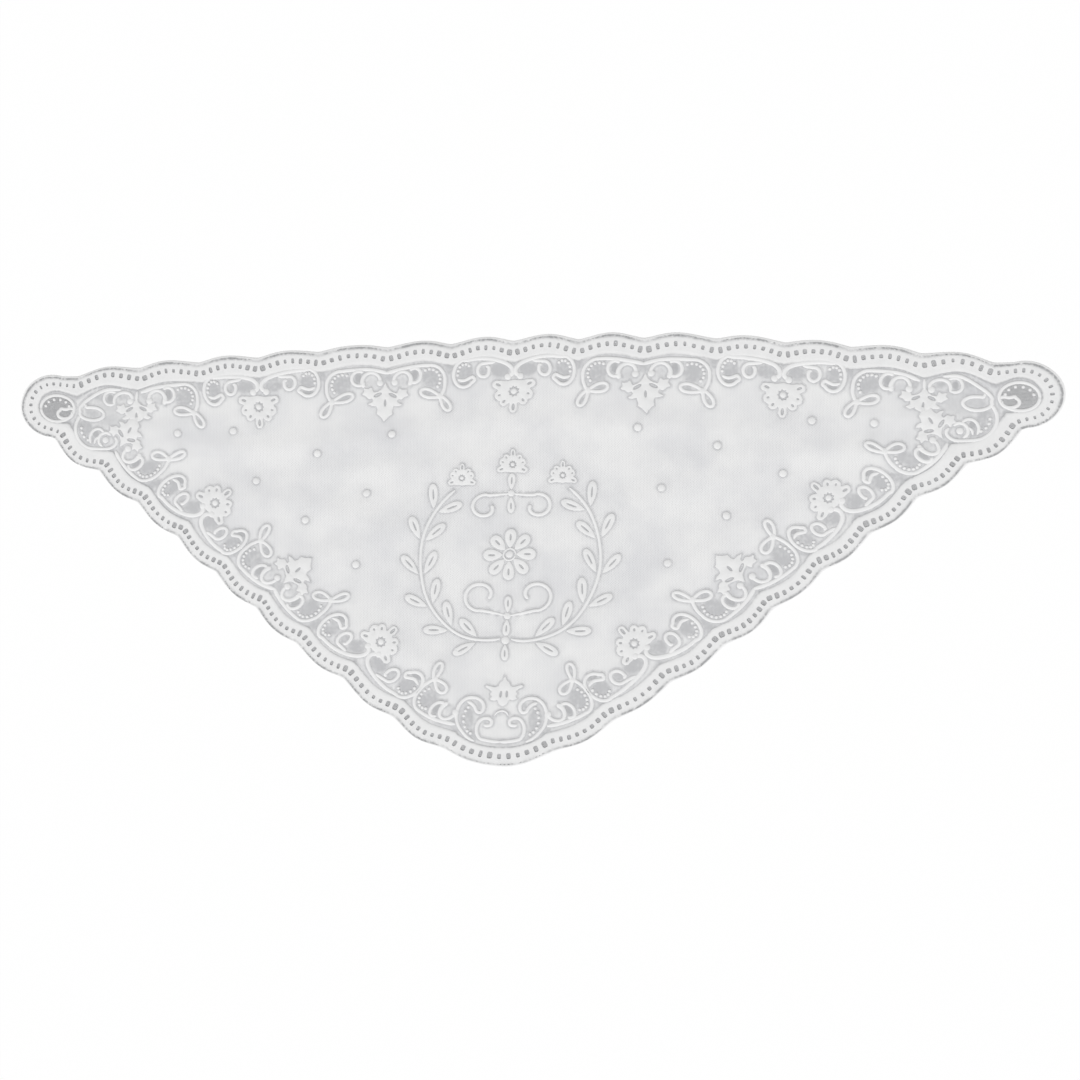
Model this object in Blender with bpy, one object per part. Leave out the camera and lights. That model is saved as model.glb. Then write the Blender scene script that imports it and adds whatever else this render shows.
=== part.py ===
# A triangular lace shawl, laid out flat: a fine net panel with raised figures, and a dense scalloped
# border with a row of eyelet slots. The cut is the same on both sides of its middle line. It is drawn
# in millimetres, across from that line and up from its own origin, and then laid on the surface with
# the slight pull that a hand leaves in it. The underside is flat, at z = 0.
import math

import bmesh
import bpy
from mathutils import Vector
from mathutils.geometry import delaunay_2d_cdt

MM = 0.001

NET_THICKNESS = 1.0
BAND_THICKNESS = 1.4
BAND_WIDTH = 21.0
SEAM_GAP = 0.4
CLOSE = 1e-9

# Cusps between the scallops, on the right half of the cut: (across, up).
NECK_CUSPS = (
    (0.0, 209.5),
    (64.0, 208.5),
    (128.5, 207.5),
    (199.0, 204.5),
    (263.5, 199.5),
    (325.5, 195.0),
    (390.5, 189.5),
    (458.0, 181.0),
)
LOWER_CUSPS = (
    (484.0, 115.5),
    (433.5, 82.0),
    (390.5, 49.5),
    (346.5, 14.5),
    (304.0, -21.5),
    (259.0, -58.0),
    (214.5, -94.5),
    (164.5, -130.0),
    (110.5, -169.5),
    (55.0, -201.0),
)
# What hangs at each cusp. At a "meet" the backs of two scrolls touch.
NECK_MOTIFS = ("flower", "meet", "leaf", "meet", "flower", "meet", "small leaf", "meet")
LOWER_MOTIFS = ("meet", "low leaf", "meet", "flower", "meet", "leaf", "meet", "flower", "meet", "none")

# Depth of a scallop at an inset from the outer edge, and what the last scallop before a tip adds to it.
SCALLOP_DEPTHS = ((0.0, 5.2), (3.8, 6.0), (11.6, 6.4), (21.0, 6.7))
NECK_SWELL = ((0.0, 0.0), (21.0, 2.8))
LOWER_SWELL = ((0.0, 3.3), (21.0, 4.8))
SCALLOP_STEPS = 6
SCALLOP_ROUNDNESS = 1.25
APEX_DEPTHS = ((0.0, 16.0), (21.0, 14.5))
APEX_ROUNDNESS = ((0.0, 1.0), (21.0, 0.76))
APEX_STEPS = 12

# The cusps on each side of a tip, followed inward: (inset, across), then (inset, up).
NECK_END = (
    ((0.0, 458.0), (11.6, 458.6), (21.0, 459.5)),
    ((0.0, 181.0), (11.6, 170.8), (21.0, 159.5)),
)
LOWER_START = (
    ((0.0, 484.0), (11.6, 476.8), (21.0, 468.5)),
    ((0.0, 115.5), (11.6, 122.8), (21.0, 132.0)),
)

# The round tip, from its outer edge to the eyelet that it goes round.
TIP_CENTRE = (485.0, 149.5)
TIP_REACH = (38.0, 32.5)
TIP_INNER_CENTRE = (480.7, 149.6)
TIP_INNER_REACH = (21.3, 16.3)
TIP_START = 105.0
TIP_END = -85.0
TIP_STEPS = 11
EYELET_RIM = 3.8
EYELET_STEPS = 18

SLOT_INSET = 11.6
SLOT_WIDTH = 3.3
SLOT_LENGTH = 4.5
SLOT_SWELL = 1.2
SLOTS_PER_SCALLOP = 8
SLOTS_PER_TIP = 15
SLOTS_AT_APEX = 11

# How the cut lies on the surface, per millimetre of its own size.
LEAN = 0.0372
RIGHT_PULL = 1.08e-4
RIGHT_RISE = 9.26e-5
RIGHT_LIFT = 0.00127
SLACK = 8.4e-5
# One long wave from tip to tip, in millimetres, higher towards the neck.
WAVE_LENGTH = 780.0
WAVE_HEIGHT = 1.2
WAVE_GROWTH = 0.0078

CORD_WIDTH = 3.2
CORD_TAPER = 0.6
CORD_RISE = 0.7
FIGURE_RISE = 0.6
PITCH = 66.0
# The scrolls of the lower edges lean to the apex, from this far in.
LOWER_LEAN = 0.2
LEAN_FROM = 15.0

# Scrolls within one scallop: lead-in points, a part of a spiral round a centre, and lead-out points.
# "along" runs from the cusp where two scrolls meet, "in" from the outer edge; the angles are in degrees.
# lead-in, centre, reach, start, sweep, tighten, steps, lead-out
FLOWER_SIDE_SCROLLS = (
    (((61.5, 31.0), (57.0, 23.5), (38.0, 19.5)), (15.5, 33.0), (10.5, 13.0), -75.0, -255.0, 0.0, 8, ()),
    (((44.0, 22.5),), (35.0, 29.3), (5.8, 6.2), -110.0, -250.0, 0.0, 6, ()),
)
LEAF_SIDE_SCROLLS = (
    (((60.0, 26.0), (46.0, 21.0)), (21.0, 35.0), (15.5, 15.5), -80.0, -100.0, 0.0, 5, ((8.0, 49.0),)),
    ((), (37.0, 29.8), (7.0, 8.3), -60.0, -240.0, 0.0, 6, ()),
    ((), (51.0, 32.5), (8.0, 7.0), -150.0, 165.0, 0.0, 5, ()),
)
# along, in, length, width, heading
FORK_LOOPS = (
    (12.5, 53.5, 19.0, 9.0, -8.0),
    (9.0, 57.0, 13.5, 7.5, 122.0),
)

# The scallops whose cusps add up to more than this have the corner's own large scrolls.
CORNER_START = 840.0

# Scrolls placed by their own across and up, on the right half.
CORNER_SCROLLS = (
    (((433.0, 164.0), (449.5, 153.5)), (441.0, 142.0), (12.7, 5.8), 10.0, -265.0, 0.0, 8, ()),
    (((455.0, 139.0),), (440.0, 128.0), (21.0, 18.5), 25.0, -100.0, 0.0, 6, ((428.0, 109.8),)),
)
APEX_SCROLLS = (
    (((33.5, -187.0),), (30.0, -166.0), (15.0, 18.8), -50.0, 140.0, 0.0, 6,
     ((19.5, -151.0), (18.0, -157.5), (22.5, -161.5))),
    (((4.0, -191.5),), (15.0, -178.5), (9.2, 11.3), -60.0, 165.0, 0.0, 6, ((9.3, -171.5), (13.5, -175.0))),
)
SPRAY_SCROLLS = (
    (((4.0, -66.0),), (27.0, -45.0), (17.0, 15.0), -95.0, 280.0, 0.5, 9, ()),
    (((5.0, 57.0),), (26.0, 44.0), (14.0, 12.0), 110.0, -280.0, 0.5, 8, ()),
)

# Dots on the open net, on the right half: (across, up).
DOTS = (
    (122.5, 118.0),
    (200.0, 100.0),
    (289.0, 123.0),
    (347.5, 120.5),
    (147.5, 58.5),
    (263.0, 72.0),
    (210.5, 31.0),
    (156.0, -14.5),
)
DOT_RADIUS = 4.2
DOT_SIDES = 6

# How far inward from its cusp each motif lies, and how far it leans to the next cusp on the way.
NECK_PLACES = {"flower": (51.0, 0.035), "leaf": (52.0, 0.05), "small leaf": (46.0, 0.115)}
LOWER_PLACES = {"flower": (53.0, 0.16), "leaf": (54.5, 0.15), "low leaf": (50.5, 0.06)}
FLOWER_RADIUS = 22.5
# Half of the hanging flower, from its lowest petal to its top: turn, reach as a share of the radius.
FLOWER_OUTLINE = (
    (0.0, 1.0), (18.0, 0.62), (33.0, 0.8), (56.0, 0.64), (77.0, 0.8), (94.0, 0.62), (108.0, 0.95), (138.0, 0.65),
    (180.0, 0.42),
)
FLOWER_CREST = ((0.0, 0.75), (33.0, 0.55), (77.0, 0.55), (110.0, 0.7))
# A round flower: turn as a share of one petal, and reach as a share of the radius.
PETAL_RIM = ((-0.25, 1.0), (0.25, 1.0), (0.5, 0.66))
PETAL_CREST = (0.3, 0.75)
LEAF_SIZE = 22.0
# Half of a lobed leaf, from its tip to its stem: turn from the tip, reach as a share of its size.
LEAF_OUTLINE = (
    (0.0, 1.0), (31.0, 0.68), (47.0, 0.5), (70.0, 0.78), (86.0, 0.62), (104.0, 1.04), (121.0, 0.82), (138.0, 0.54),
    (180.0, 0.75),
)
LEAF_CREST = ((0.0, 0.6), (70.0, 0.4), (106.0, 0.75))
# The share that is left of the tip where two leaves crowd each other.
LEAF_TIPS = {"leaf": 1.0, "small leaf": 0.3, "low leaf": 0.85}
PALMETTE_CENTRE = (0.8, -141.5)
PALMETTE_SIZE = 14.5
PALMETTE_OUTLINE = (
    (0.0, 1.0), (30.0, 0.6), (60.0, 0.8), (76.0, 1.33), (92.0, 0.85), (106.0, 1.0), (130.0, 0.6), (180.0, 0.93),
)
PALMETTE_CREST = ((0.0, 0.5), (76.0, 0.8))

# The wreath in the middle of the shawl: a leafy stem on each side, from below to above, with flowers.
STEM_CENTRE = (20.0, -8.0)
STEM_REACH = (70.0, 82.0)
STEM_START = -102.0
STEM_END = 58.0
STEM_STEPS = 11
SPRIG_ANGLES = (-82.0, -58.0, -34.0, -10.0, 14.0, 37.0)
SPRIG_SPREAD = 36.0
SPRIG_ROOT = 3.2
SPRIG_LENGTH = 25.0
SPRIG_WIDTH = 10.5
# across, up, radius, petals
SPRAY_FLOWERS = ((50.0, 74.0, 14.0, 6),)
MIDDLE_FLOWERS = ((0.0, -4.0, 27.0, 8), (0.0, 86.0, 15.0, 6))


def arc_point(centre, reach, angle):
    turn = math.radians(angle)
    return Vector((centre[0] + reach[0] * math.cos(turn), centre[1] + reach[1] * math.sin(turn)))


def mirrored(points):
    return [Vector((-point.x, point.y)) for point in points]


def both_sides(groups):
    return groups + [mirrored(points) for points in groups]


def on_rows(rows, place):
    """The value at a place, on straight lines through the rows and on beyond the last."""
    for (first, low), (last, high) in zip(rows, rows[1:]):
        if place <= last:
            break
    return low + (high - low) * (place - first) / (last - first)


def lobe(start, end, depth, steps, roundness=SCALLOP_ROUNDNESS):
    """Points of one scallop, from its start up to but not including its end."""
    chord = end - start
    outward = chord.orthogonal().normalized()
    points = []
    for step in range(steps):
        along = step / steps
        bulge = depth * math.sin(math.pi * along) ** roundness
        points.append(start + chord * along + outward * bulge)
    return points


def inward_at(cusps, index):
    """The inward direction at a cusp, square to its neighbours."""
    before = cusps[max(index - 1, 0)]
    after = cusps[min(index + 1, len(cusps) - 1)]
    return -(after - before).orthogonal().normalized()


def inset_cusps(rows, inset, middle_first):
    cusps = [Vector(row) for row in rows]
    moved = []
    for index, cusp in enumerate(cusps):
        inward = inward_at(cusps, index)
        if middle_first and index == 0:
            inward = Vector((0.0, -1.0))
        moved.append(cusp + inward * inset)
    return moved


def edge_lobes(inset):
    """The right half's lobes at an inset from the outer edge: neck, tip, lower edge and half the apex."""
    neck = inset_cusps(NECK_CUSPS, inset, True)
    neck[-1] = Vector([on_rows(rows, inset) for rows in NECK_END])
    lower = inset_cusps(LOWER_CUSPS, inset, False)
    lower[0] = Vector([on_rows(rows, inset) for rows in LOWER_START])
    depth = on_rows(SCALLOP_DEPTHS, inset)
    neck_depths = [depth] * (len(neck) - 2) + [depth + on_rows(NECK_SWELL, inset)]
    lower_depths = [depth + on_rows(LOWER_SWELL, inset)] + [depth] * (len(lower) - 2)
    lobes = [lobe(*ends, SCALLOP_STEPS) for ends in zip(neck, neck[1:], neck_depths)]
    share = inset / BAND_WIDTH
    centre = Vector(TIP_CENTRE).lerp(Vector(TIP_INNER_CENTRE), share)
    reach = Vector(TIP_REACH).lerp(Vector(TIP_INNER_REACH), share)
    tip = [neck[-1]]
    for step in range(TIP_STEPS + 1):
        tip.append(arc_point(centre, reach, TIP_START + (TIP_END - TIP_START) * step / TIP_STEPS))
    lobes.append(tip)
    lobes += [lobe(*ends, SCALLOP_STEPS) for ends in zip(lower, lower[1:], lower_depths)]
    apex_end = Vector((-lower[-1].x, lower[-1].y))
    apex_depth, apex_roundness = on_rows(APEX_DEPTHS, inset), on_rows(APEX_ROUNDNESS, inset)
    lobes.append(lobe(lower[-1], apex_end, apex_depth, APEX_STEPS, apex_roundness))
    return lobes


def edge_loop(inset):
    """The whole closed edge at an inset, clockwise from the middle of the neck."""
    lobes = edge_lobes(inset)
    right = [point for points in lobes[:-1] for point in points]
    left = mirrored(right[:0:-1])
    return right + lobes[-1] + [Vector((-lobes[-1][0].x, lobes[-1][0].y))] + left


def walk(points, count):
    """Evenly spaced stations on a line of points: place, unit direction and share of the way."""
    lengths = [(end - start).length for start, end in zip(points, points[1:])]
    total = sum(lengths)
    stations = []
    for number in range(count):
        share = (number + 0.5) / count
        rest = share * total
        index = 0
        while rest > lengths[index]:
            rest -= lengths[index]
            index += 1
        direction = (points[index + 1] - points[index]).normalized()
        stations.append((points[index] + direction * rest, direction, share))
    return stations


def slots():
    """The four-sided slots of the border, row by row."""
    lobes = edge_lobes(SLOT_INSET)
    neck_count = len(NECK_CUSPS) - 1
    found = []
    for index, points in enumerate(lobes):
        is_apex = index == len(lobes) - 1
        if is_apex:
            end = Vector((-points[0].x, points[0].y))
            count = SLOTS_AT_APEX
        else:
            end = lobes[index + 1][0]
            count = SLOTS_PER_TIP if index == neck_count else SLOTS_PER_SCALLOP
        for place, direction, share in walk(points + [end], count):
            swell = SLOT_SWELL * (0.5 + 0.5 * math.cos(4 * math.pi * share))
            half_wide = direction * (SLOT_WIDTH + swell) / 2
            half_long = direction.orthogonal() * (SLOT_LENGTH + swell) / 2
            corners = [
                place - half_wide - half_long,
                place + half_wide - half_long,
                place + half_wide + half_long,
                place - half_wide + half_long,
            ]
            found.append(corners)
            if not is_apex:
                found.append(mirrored(corners))
    return found


def spiral(row):
    """The centre line of a scroll: its lead-in, an arc that may tighten, and its lead-out."""
    lead_in, centre, reach, start, sweep, tighten, steps, lead_out = row
    line = [Vector(point) for point in lead_in]
    for step in range(steps + 1):
        share = step / steps
        size = 1 - tighten * share * share
        line.append(arc_point(centre, (reach[0] * size, reach[1] * size), start + sweep * share))
    return line + [Vector(point) for point in lead_out]


def cord(line):
    """A raised cord: its rim loop and the crest along its middle."""
    left, right = [], []
    for index, point in enumerate(line):
        before = line[max(index - 1, 0)]
        after = line[min(index + 1, len(line) - 1)]
        side = (after - before).orthogonal().normalized() * CORD_WIDTH / 2
        if index in (0, len(line) - 1):
            side *= CORD_TAPER
        left.append(point + side)
        right.append(point - side)
    return left + right[::-1], [line[1:-1]]


def teardrop(root, length, width, heading):
    """A pointed oval: its rim loop and the crest along its middle."""
    turn = math.radians(heading)
    ahead = Vector((math.cos(turn), math.sin(turn)))
    side = ahead.orthogonal() * width / 2
    rim = [
        root,
        root + ahead * length * 0.35 - side * 0.75,
        root + ahead * length * 0.75 - side,
        root + ahead * length,
        root + ahead * length * 0.75 + side,
        root + ahead * length * 0.35 + side * 0.75,
    ]
    return rim, [[root + ahead * length * 0.35, root + ahead * length * 0.75]]


def flower(centre, radius, petals, heading):
    """A round flower: a petalled rim and a crest on each petal."""
    rim, crests = [], []
    pitch = 360 / petals
    for number in range(petals):
        angle = heading + pitch * number
        for turn, reach in PETAL_RIM:
            rim.append(arc_point(centre, (radius * reach,) * 2, angle + turn * pitch))
        crests.append([arc_point(centre, (radius * reach,) * 2, angle) for reach in PETAL_CREST])
    return rim, crests


def two_sided_figure(centre, size, heading, outline, crest, tip=1.0):
    """A figure with two like halves. The outline's first reach is cut to the share of its tip."""
    shares = [tip] + [1.0] * (len(outline) - 1)
    rim = []
    for side, rows in ((1, list(zip(outline, shares))), (-1, list(zip(outline, shares))[-2:0:-1])):
        for (turn, reach), share in rows:
            rim.append(arc_point(centre, (size * reach * share,) * 2, heading + side * turn))
    crests = [[Vector(centre)]]
    for turn, reach in crest:
        for side in (1, -1) if turn else (1,):
            share = tip if turn == 0.0 else 1.0
            crests.append([arc_point(centre, (size * reach * share,) * 2, heading + side * turn)])
    return rim, crests


def dot(centre):
    rim = [arc_point(centre, (DOT_RADIUS,) * 2, 360 * n / DOT_SIDES) for n in range(DOT_SIDES)]
    return rim, [[Vector(centre)]]


def moved(figure, place):
    rim, crests = figure
    return [place(point) for point in rim], [[place(point) for point in crest] for crest in crests]


def scallop_place(meet, motif, lean):
    """Maps (along, in) of one scallop to the cut, along running from one cusp to the other."""
    chord = motif - meet
    along = chord.normalized()
    inward = along.orthogonal()
    if inward.dot(Vector((0.0, 60.0)) - meet) < 0:
        inward = -inward
    scale = chord.length / PITCH
    return lambda point: meet + along * point.x * scale + inward * point.y + lean * (point.y - LEAN_FROM)


def scallop_figures(rows, names, leaning):
    """The scrolls and forks of every scallop of one edge, except those of the corner."""
    cusps = [Vector(row) for row in rows]
    figures = []
    for index in range(len(cusps) - 1):
        pair = {names[index]: cusps[index], names[index + 1]: cusps[index + 1]}
        motif_name = next(name for name in pair if name != "meet")
        in_corner = cusps[index].x + cusps[index + 1].x > CORNER_START
        toward_apex = (cusps[index + 1] - cusps[index]).normalized()
        lean = toward_apex * LOWER_LEAN if leaning else Vector((0.0, 0.0))
        place = scallop_place(pair["meet"], pair[motif_name], lean)
        table = FLOWER_SIDE_SCROLLS if motif_name == "flower" else LEAF_SIDE_SCROLLS
        first = 1 if in_corner else 0
        figures += [moved(cord(spiral(row)), place) for row in table[first:]]
        if motif_name != "flower" and not in_corner:
            for along, inward, length, width, heading in FORK_LOOPS:
                drop = teardrop(Vector((along, inward)), length, width, heading)
                figures.append(moved(drop, place))
    return figures


def motif_at(name, cusps, index, places):
    """The flower or leaf that points inward from a cusp."""
    distance, lean = places[name]
    inward = inward_at(cusps, index) if index else Vector((0.0, -1.0))
    if index:
        inward = inward + (cusps[index + 1] - cusps[index]).normalized() * lean
    centre = cusps[index] + inward * distance
    heading = math.degrees(math.atan2(inward.y, inward.x))
    if name == "flower":
        return two_sided_figure(centre, FLOWER_RADIUS, heading, FLOWER_OUTLINE, FLOWER_CREST)
    return two_sided_figure(centre, LEAF_SIZE, heading, LEAF_OUTLINE, LEAF_CREST, LEAF_TIPS[name])


def hanging_figures(rows, names, places):
    """The flowers and leaves of one edge, in order from its first cusp."""
    cusps = [Vector(row) for row in rows]
    return [motif_at(name, cusps, index, places) for index, name in enumerate(names) if name in places]


def stem_line():
    """The wreath's stem, on the right half."""
    turns = [STEM_START + (STEM_END - STEM_START) * step / STEM_STEPS for step in range(STEM_STEPS + 1)]
    return [arc_point(STEM_CENTRE, STEM_REACH, turn) for turn in turns]


def sprigs():
    """Pairs of leaves along the stem, one on each side of it."""
    leaves = []
    for turn in SPRIG_ANGLES:
        root = arc_point(STEM_CENTRE, STEM_REACH, turn)
        ahead = arc_point(STEM_CENTRE, STEM_REACH, turn + 1.0) - root
        heading = math.degrees(math.atan2(ahead.y, ahead.x))
        for side in (-1, 1):
            offset = ahead.orthogonal().normalized() * side * SPRIG_ROOT
            leaves.append(teardrop(root + offset, SPRIG_LENGTH, SPRIG_WIDTH, heading + side * SPRIG_SPREAD))
    return leaves


def mirrored_figure(figure):
    rim, crests = figure
    return mirrored(rim), [mirrored(crest) for crest in crests]


def cord_figures():
    right = scallop_figures(NECK_CUSPS, NECK_MOTIFS, False)
    right += scallop_figures(LOWER_CUSPS, LOWER_MOTIFS, True)
    right += [cord(spiral(row)) for row in CORNER_SCROLLS + APEX_SCROLLS + SPRAY_SCROLLS]
    right.append(cord(stem_line()))
    return right + [mirrored_figure(figure) for figure in right]


def leaf_and_flower_figures():
    neck = hanging_figures(NECK_CUSPS, NECK_MOTIFS, NECK_PLACES)
    right = neck[1:] + hanging_figures(LOWER_CUSPS, LOWER_MOTIFS, LOWER_PLACES)
    right += [dot(centre) for centre in DOTS]
    right += [flower(row[:2], row[2], row[3], 90.0) for row in SPRAY_FLOWERS]
    right += sprigs()
    middle = neck[:1]
    middle.append(two_sided_figure(PALMETTE_CENTRE, PALMETTE_SIZE, 90.0, PALMETTE_OUTLINE, PALMETTE_CREST))
    middle += [flower(row[:2], row[2], row[3], 90.0) for row in MIDDLE_FLOWERS]
    return right + [mirrored_figure(figure) for figure in right] + middle


def lay(point):
    """Where a point of the cut lies on the surface, in millimetres."""
    across, up = point
    x = across + LEAN * up + RIGHT_PULL * across * across - SLACK * up * up
    wave = (WAVE_HEIGHT + WAVE_GROWTH * up) * math.sin(2 * math.pi * across / WAVE_LENGTH)
    return Vector((x, up + (RIGHT_LIFT + RIGHT_RISE * up) * across + wave))


def laid_frame():
    """The lowest corner and the size of the laid outline."""
    outline = [lay(point) for point in edge_loop(0.0)]
    low = Vector((min(point.x for point in outline), min(point.y for point in outline)))
    high = Vector((max(point.x for point in outline), max(point.y for point in outline)))
    return low, high


LAID_LOW, LAID_HIGH = laid_frame()
LAID_MIDDLE = (LAID_LOW + LAID_HIGH) / 2


def to_metres(point):
    return (lay(point) - LAID_MIDDLE) * MM


def make_material(name, colour, roughness):
    material = bpy.data.materials.new(name)
    material.use_nodes = True
    shader = material.node_tree.nodes["Principled BSDF"]
    shader.inputs["Base Color"].default_value = (*colour, 1.0)
    shader.inputs["Roughness"].default_value = roughness
    shader.inputs["Metallic"].default_value = 0.0
    return material


def make_band(collection, material):
    """The border: a flat outline with holes, extruded to its thickness, and made a mesh."""
    curve = bpy.data.curves.new("border_outline", "CURVE")
    curve.dimensions = "2D"
    curve.fill_mode = "BOTH"
    curve.extrude = BAND_THICKNESS * MM / 2
    for loop in [edge_loop(0.0), edge_loop(BAND_WIDTH)] + slots():
        spline = curve.splines.new("POLY")
        spline.points.add(len(loop) - 1)
        for spline_point, point in zip(spline.points, loop):
            spline_point.co = (*to_metres(point), 0.0, 1.0)
        spline.use_cyclic_u = True
    band = bpy.data.objects.new("border_band", curve)
    band.location.z = curve.extrude
    curve.materials.append(material)
    collection.objects.link(band)
    return band


class Web:
    """Points and edges of one flat panel, before it is triangulated."""

    def __init__(self):
        self.points = []
        self.heights = []
        self.edges = []

    def add(self, line, height, closed):
        first = len(self.points)
        self.points += [to_metres(point) for point in line]
        self.heights += [height] * len(line)
        count = len(line)
        for number in range(count if closed else count - 1):
            self.edges.append((first + number, first + (number + 1) % count))
        return list(range(first, first + count))

    def turned_left(self, loop):
        """The loop with its inside on the left."""
        area = 0.0
        for before, after in zip(loop, loop[1:] + loop[:1]):
            area += self.points[before].cross(self.points[after])
        return loop if area > 0 else loop[::-1]

    def triangles(self, loops):
        """Vertices, triangles and the new number of each point. loops: the outline, then the openings."""
        faces_in = [self.turned_left(loop) for loop in loops]
        found = delaunay_2d_cdt(self.points, self.edges, faces_in, 0, CLOSE, True)
        points, _, faces, origins, _, face_origins = found
        kept = [face for face, inside in zip(faces, face_origins) if list(inside) == [0]]
        heights = [max((self.heights[old] for old in olds), default=0.0) for olds in origins]
        numbers = {old: new for new, olds in enumerate(origins) for old in olds}
        return points, heights, kept, numbers


def make_net(collection, material):
    """The net panel: a flat underside, and an upper side raised into cords, flowers and leaves."""
    outline = edge_loop(BAND_WIDTH + SEAM_GAP)
    reach = [size - EYELET_RIM for size in TIP_INNER_REACH]
    rim_reach = [size - EYELET_RIM / 2 for size in TIP_INNER_REACH]
    turns = [360 * step / EYELET_STEPS for step in range(EYELET_STEPS)]
    eyelets = both_sides([[arc_point(TIP_INNER_CENTRE, reach, turn) for turn in turns]])
    rims = both_sides([[arc_point(TIP_INNER_CENTRE, rim_reach, turn) for turn in turns]])
    under, upper = Web(), Web()
    for web in (under, upper):
        loops = [web.add(outline, 0.0, True)]
        loops += [web.add(eyelet, 0.0, True) for eyelet in eyelets]
    for rim in rims:
        upper.add(rim, CORD_RISE, True)
    for rise, figures in ((CORD_RISE, cord_figures()), (FIGURE_RISE, leaf_and_flower_figures())):
        for rim, crests in figures:
            upper.add(rim, 0.0, True)
            for crest in crests:
                upper.add(crest, rise, False)
    shape = bmesh.new()
    sides = []
    for web, level in ((under, 0.0), (upper, NET_THICKNESS)):
        points, heights, faces, numbers = web.triangles(loops)
        corners = {}
        for face in faces:
            for number in face:
                if number not in corners:
                    height = (level + heights[number]) * MM
                    corners[number] = shape.verts.new((*points[number], height))
            shape.faces.new([corners[number] for number in face])
        sides.append([[corners[numbers[old]] for old in loop] for loop in loops])
    for low_loop, high_loop in zip(*sides):
        for index in range(len(low_loop)):
            after = (index + 1) % len(low_loop)
            corners = (low_loop[index], low_loop[after], high_loop[after], high_loop[index])
            shape.faces.new(corners)
    bmesh.ops.recalc_face_normals(shape, faces=shape.faces)
    mesh = bpy.data.meshes.new("net_ground")
    shape.to_mesh(mesh)
    shape.free()
    mesh.materials.append(material)
    net = bpy.data.objects.new("net_ground", mesh)
    collection.objects.link(net)
    return net


for leftover in list(bpy.data.objects):
    bpy.data.objects.remove(leftover, do_unlink=True)

shawl = bpy.data.collections.new("lace_shawl")
bpy.context.scene.collection.children.link(shawl)
make_net(shawl, make_material("white_net", (0.83, 0.84, 0.86), 0.8))
make_band(shawl, make_material("white_dense_lace", (0.88, 0.88, 0.88), 0.75))
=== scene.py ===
import math
import random

import bpy
import numpy as np
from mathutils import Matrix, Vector
from mathutils.geometry import delaunay_2d_cdt
from mathutils.kdtree import KDTree


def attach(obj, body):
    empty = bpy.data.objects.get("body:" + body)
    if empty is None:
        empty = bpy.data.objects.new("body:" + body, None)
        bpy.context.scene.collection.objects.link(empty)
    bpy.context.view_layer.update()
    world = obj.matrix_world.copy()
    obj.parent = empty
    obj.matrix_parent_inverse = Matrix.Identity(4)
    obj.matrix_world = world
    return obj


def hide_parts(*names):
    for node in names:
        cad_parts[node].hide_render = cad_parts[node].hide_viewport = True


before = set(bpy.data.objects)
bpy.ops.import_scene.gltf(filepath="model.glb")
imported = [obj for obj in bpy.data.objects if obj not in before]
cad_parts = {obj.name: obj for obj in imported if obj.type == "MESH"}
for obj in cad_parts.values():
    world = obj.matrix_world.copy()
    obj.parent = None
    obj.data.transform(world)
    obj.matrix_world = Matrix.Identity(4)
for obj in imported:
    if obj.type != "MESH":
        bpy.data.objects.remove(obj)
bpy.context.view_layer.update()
mm = 0.001
print("frame loaded")

# The cut of the shawl, in millimetres: across from its middle line, and up. The left half mirrors the right.
cut = {
    "neckCusps": [(0.0, 209.5), (64.0, 208.5), (128.5, 207.5), (199.0, 204.5), (263.5, 199.5),
                  (325.5, 195.0), (390.5, 189.5), (458.0, 181.0)],
    "lowerCusps": [(484.0, 115.5), (433.5, 82.0), (390.5, 49.5), (346.5, 14.5), (304.0, -21.5),
                   (259.0, -58.0), (214.5, -94.5), (164.5, -130.0), (110.5, -169.5), (55.0, -201.0)],
    "neckMotifs": ["flower", "meet", "leaf", "meet", "flower", "meet", "smallLeaf", "meet"],
    "lowerMotifs": ["meet", "lowLeaf", "meet", "flower", "meet", "leaf", "meet", "flower", "meet", "none"],
    "middle": (0.0, 60.0),  # a place well inside the edge
    "bandWidth": 21.0,
    # inset from the edge, depth of a scallop there
    "depths": [(0.0, 5.2), (3.8, 6.0), (11.6, 6.4), (21.0, 5.8)],
    # what the last scallop before a tip adds to its depth at the outer and the inner edge
    "neckSwell": (0.0, 2.8),
    "lowerSwell": (3.3, 4.8),
    "roundness": 1.25,
    "apexDepth": (16.0, 14.5),
    "apexRoundness": (1.0, 0.76),
    # the cusps beside a tip, followed inward: inset, across, up
    "neckEnd": [(0.0, 458.0, 181.0), (11.6, 458.6, 170.8), (21.0, 459.5, 159.5)],
    "lowerStart": [(0.0, 484.0, 115.5), (11.6, 476.8, 122.8), (21.0, 468.5, 132.0)],
    # the inner edge's cusp next to a tip's scallop: its number, across, up, drawn in from this inset
    "neckPinch": (-2, 393.3, 166.6),
    "lowerPinch": (1, 419.0, 102.5),
    "pinchFrom": 14.0,
    "tipCentre": (485.0, 149.5),
    "tipReach": (38.0, 32.5),
    "tipInnerCentre": (480.7, 149.6),
    "tipInnerReach": (21.3, 16.3),
    "tipArc": (105.0, -85.0),
    "lobeSteps": 24,
}

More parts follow.
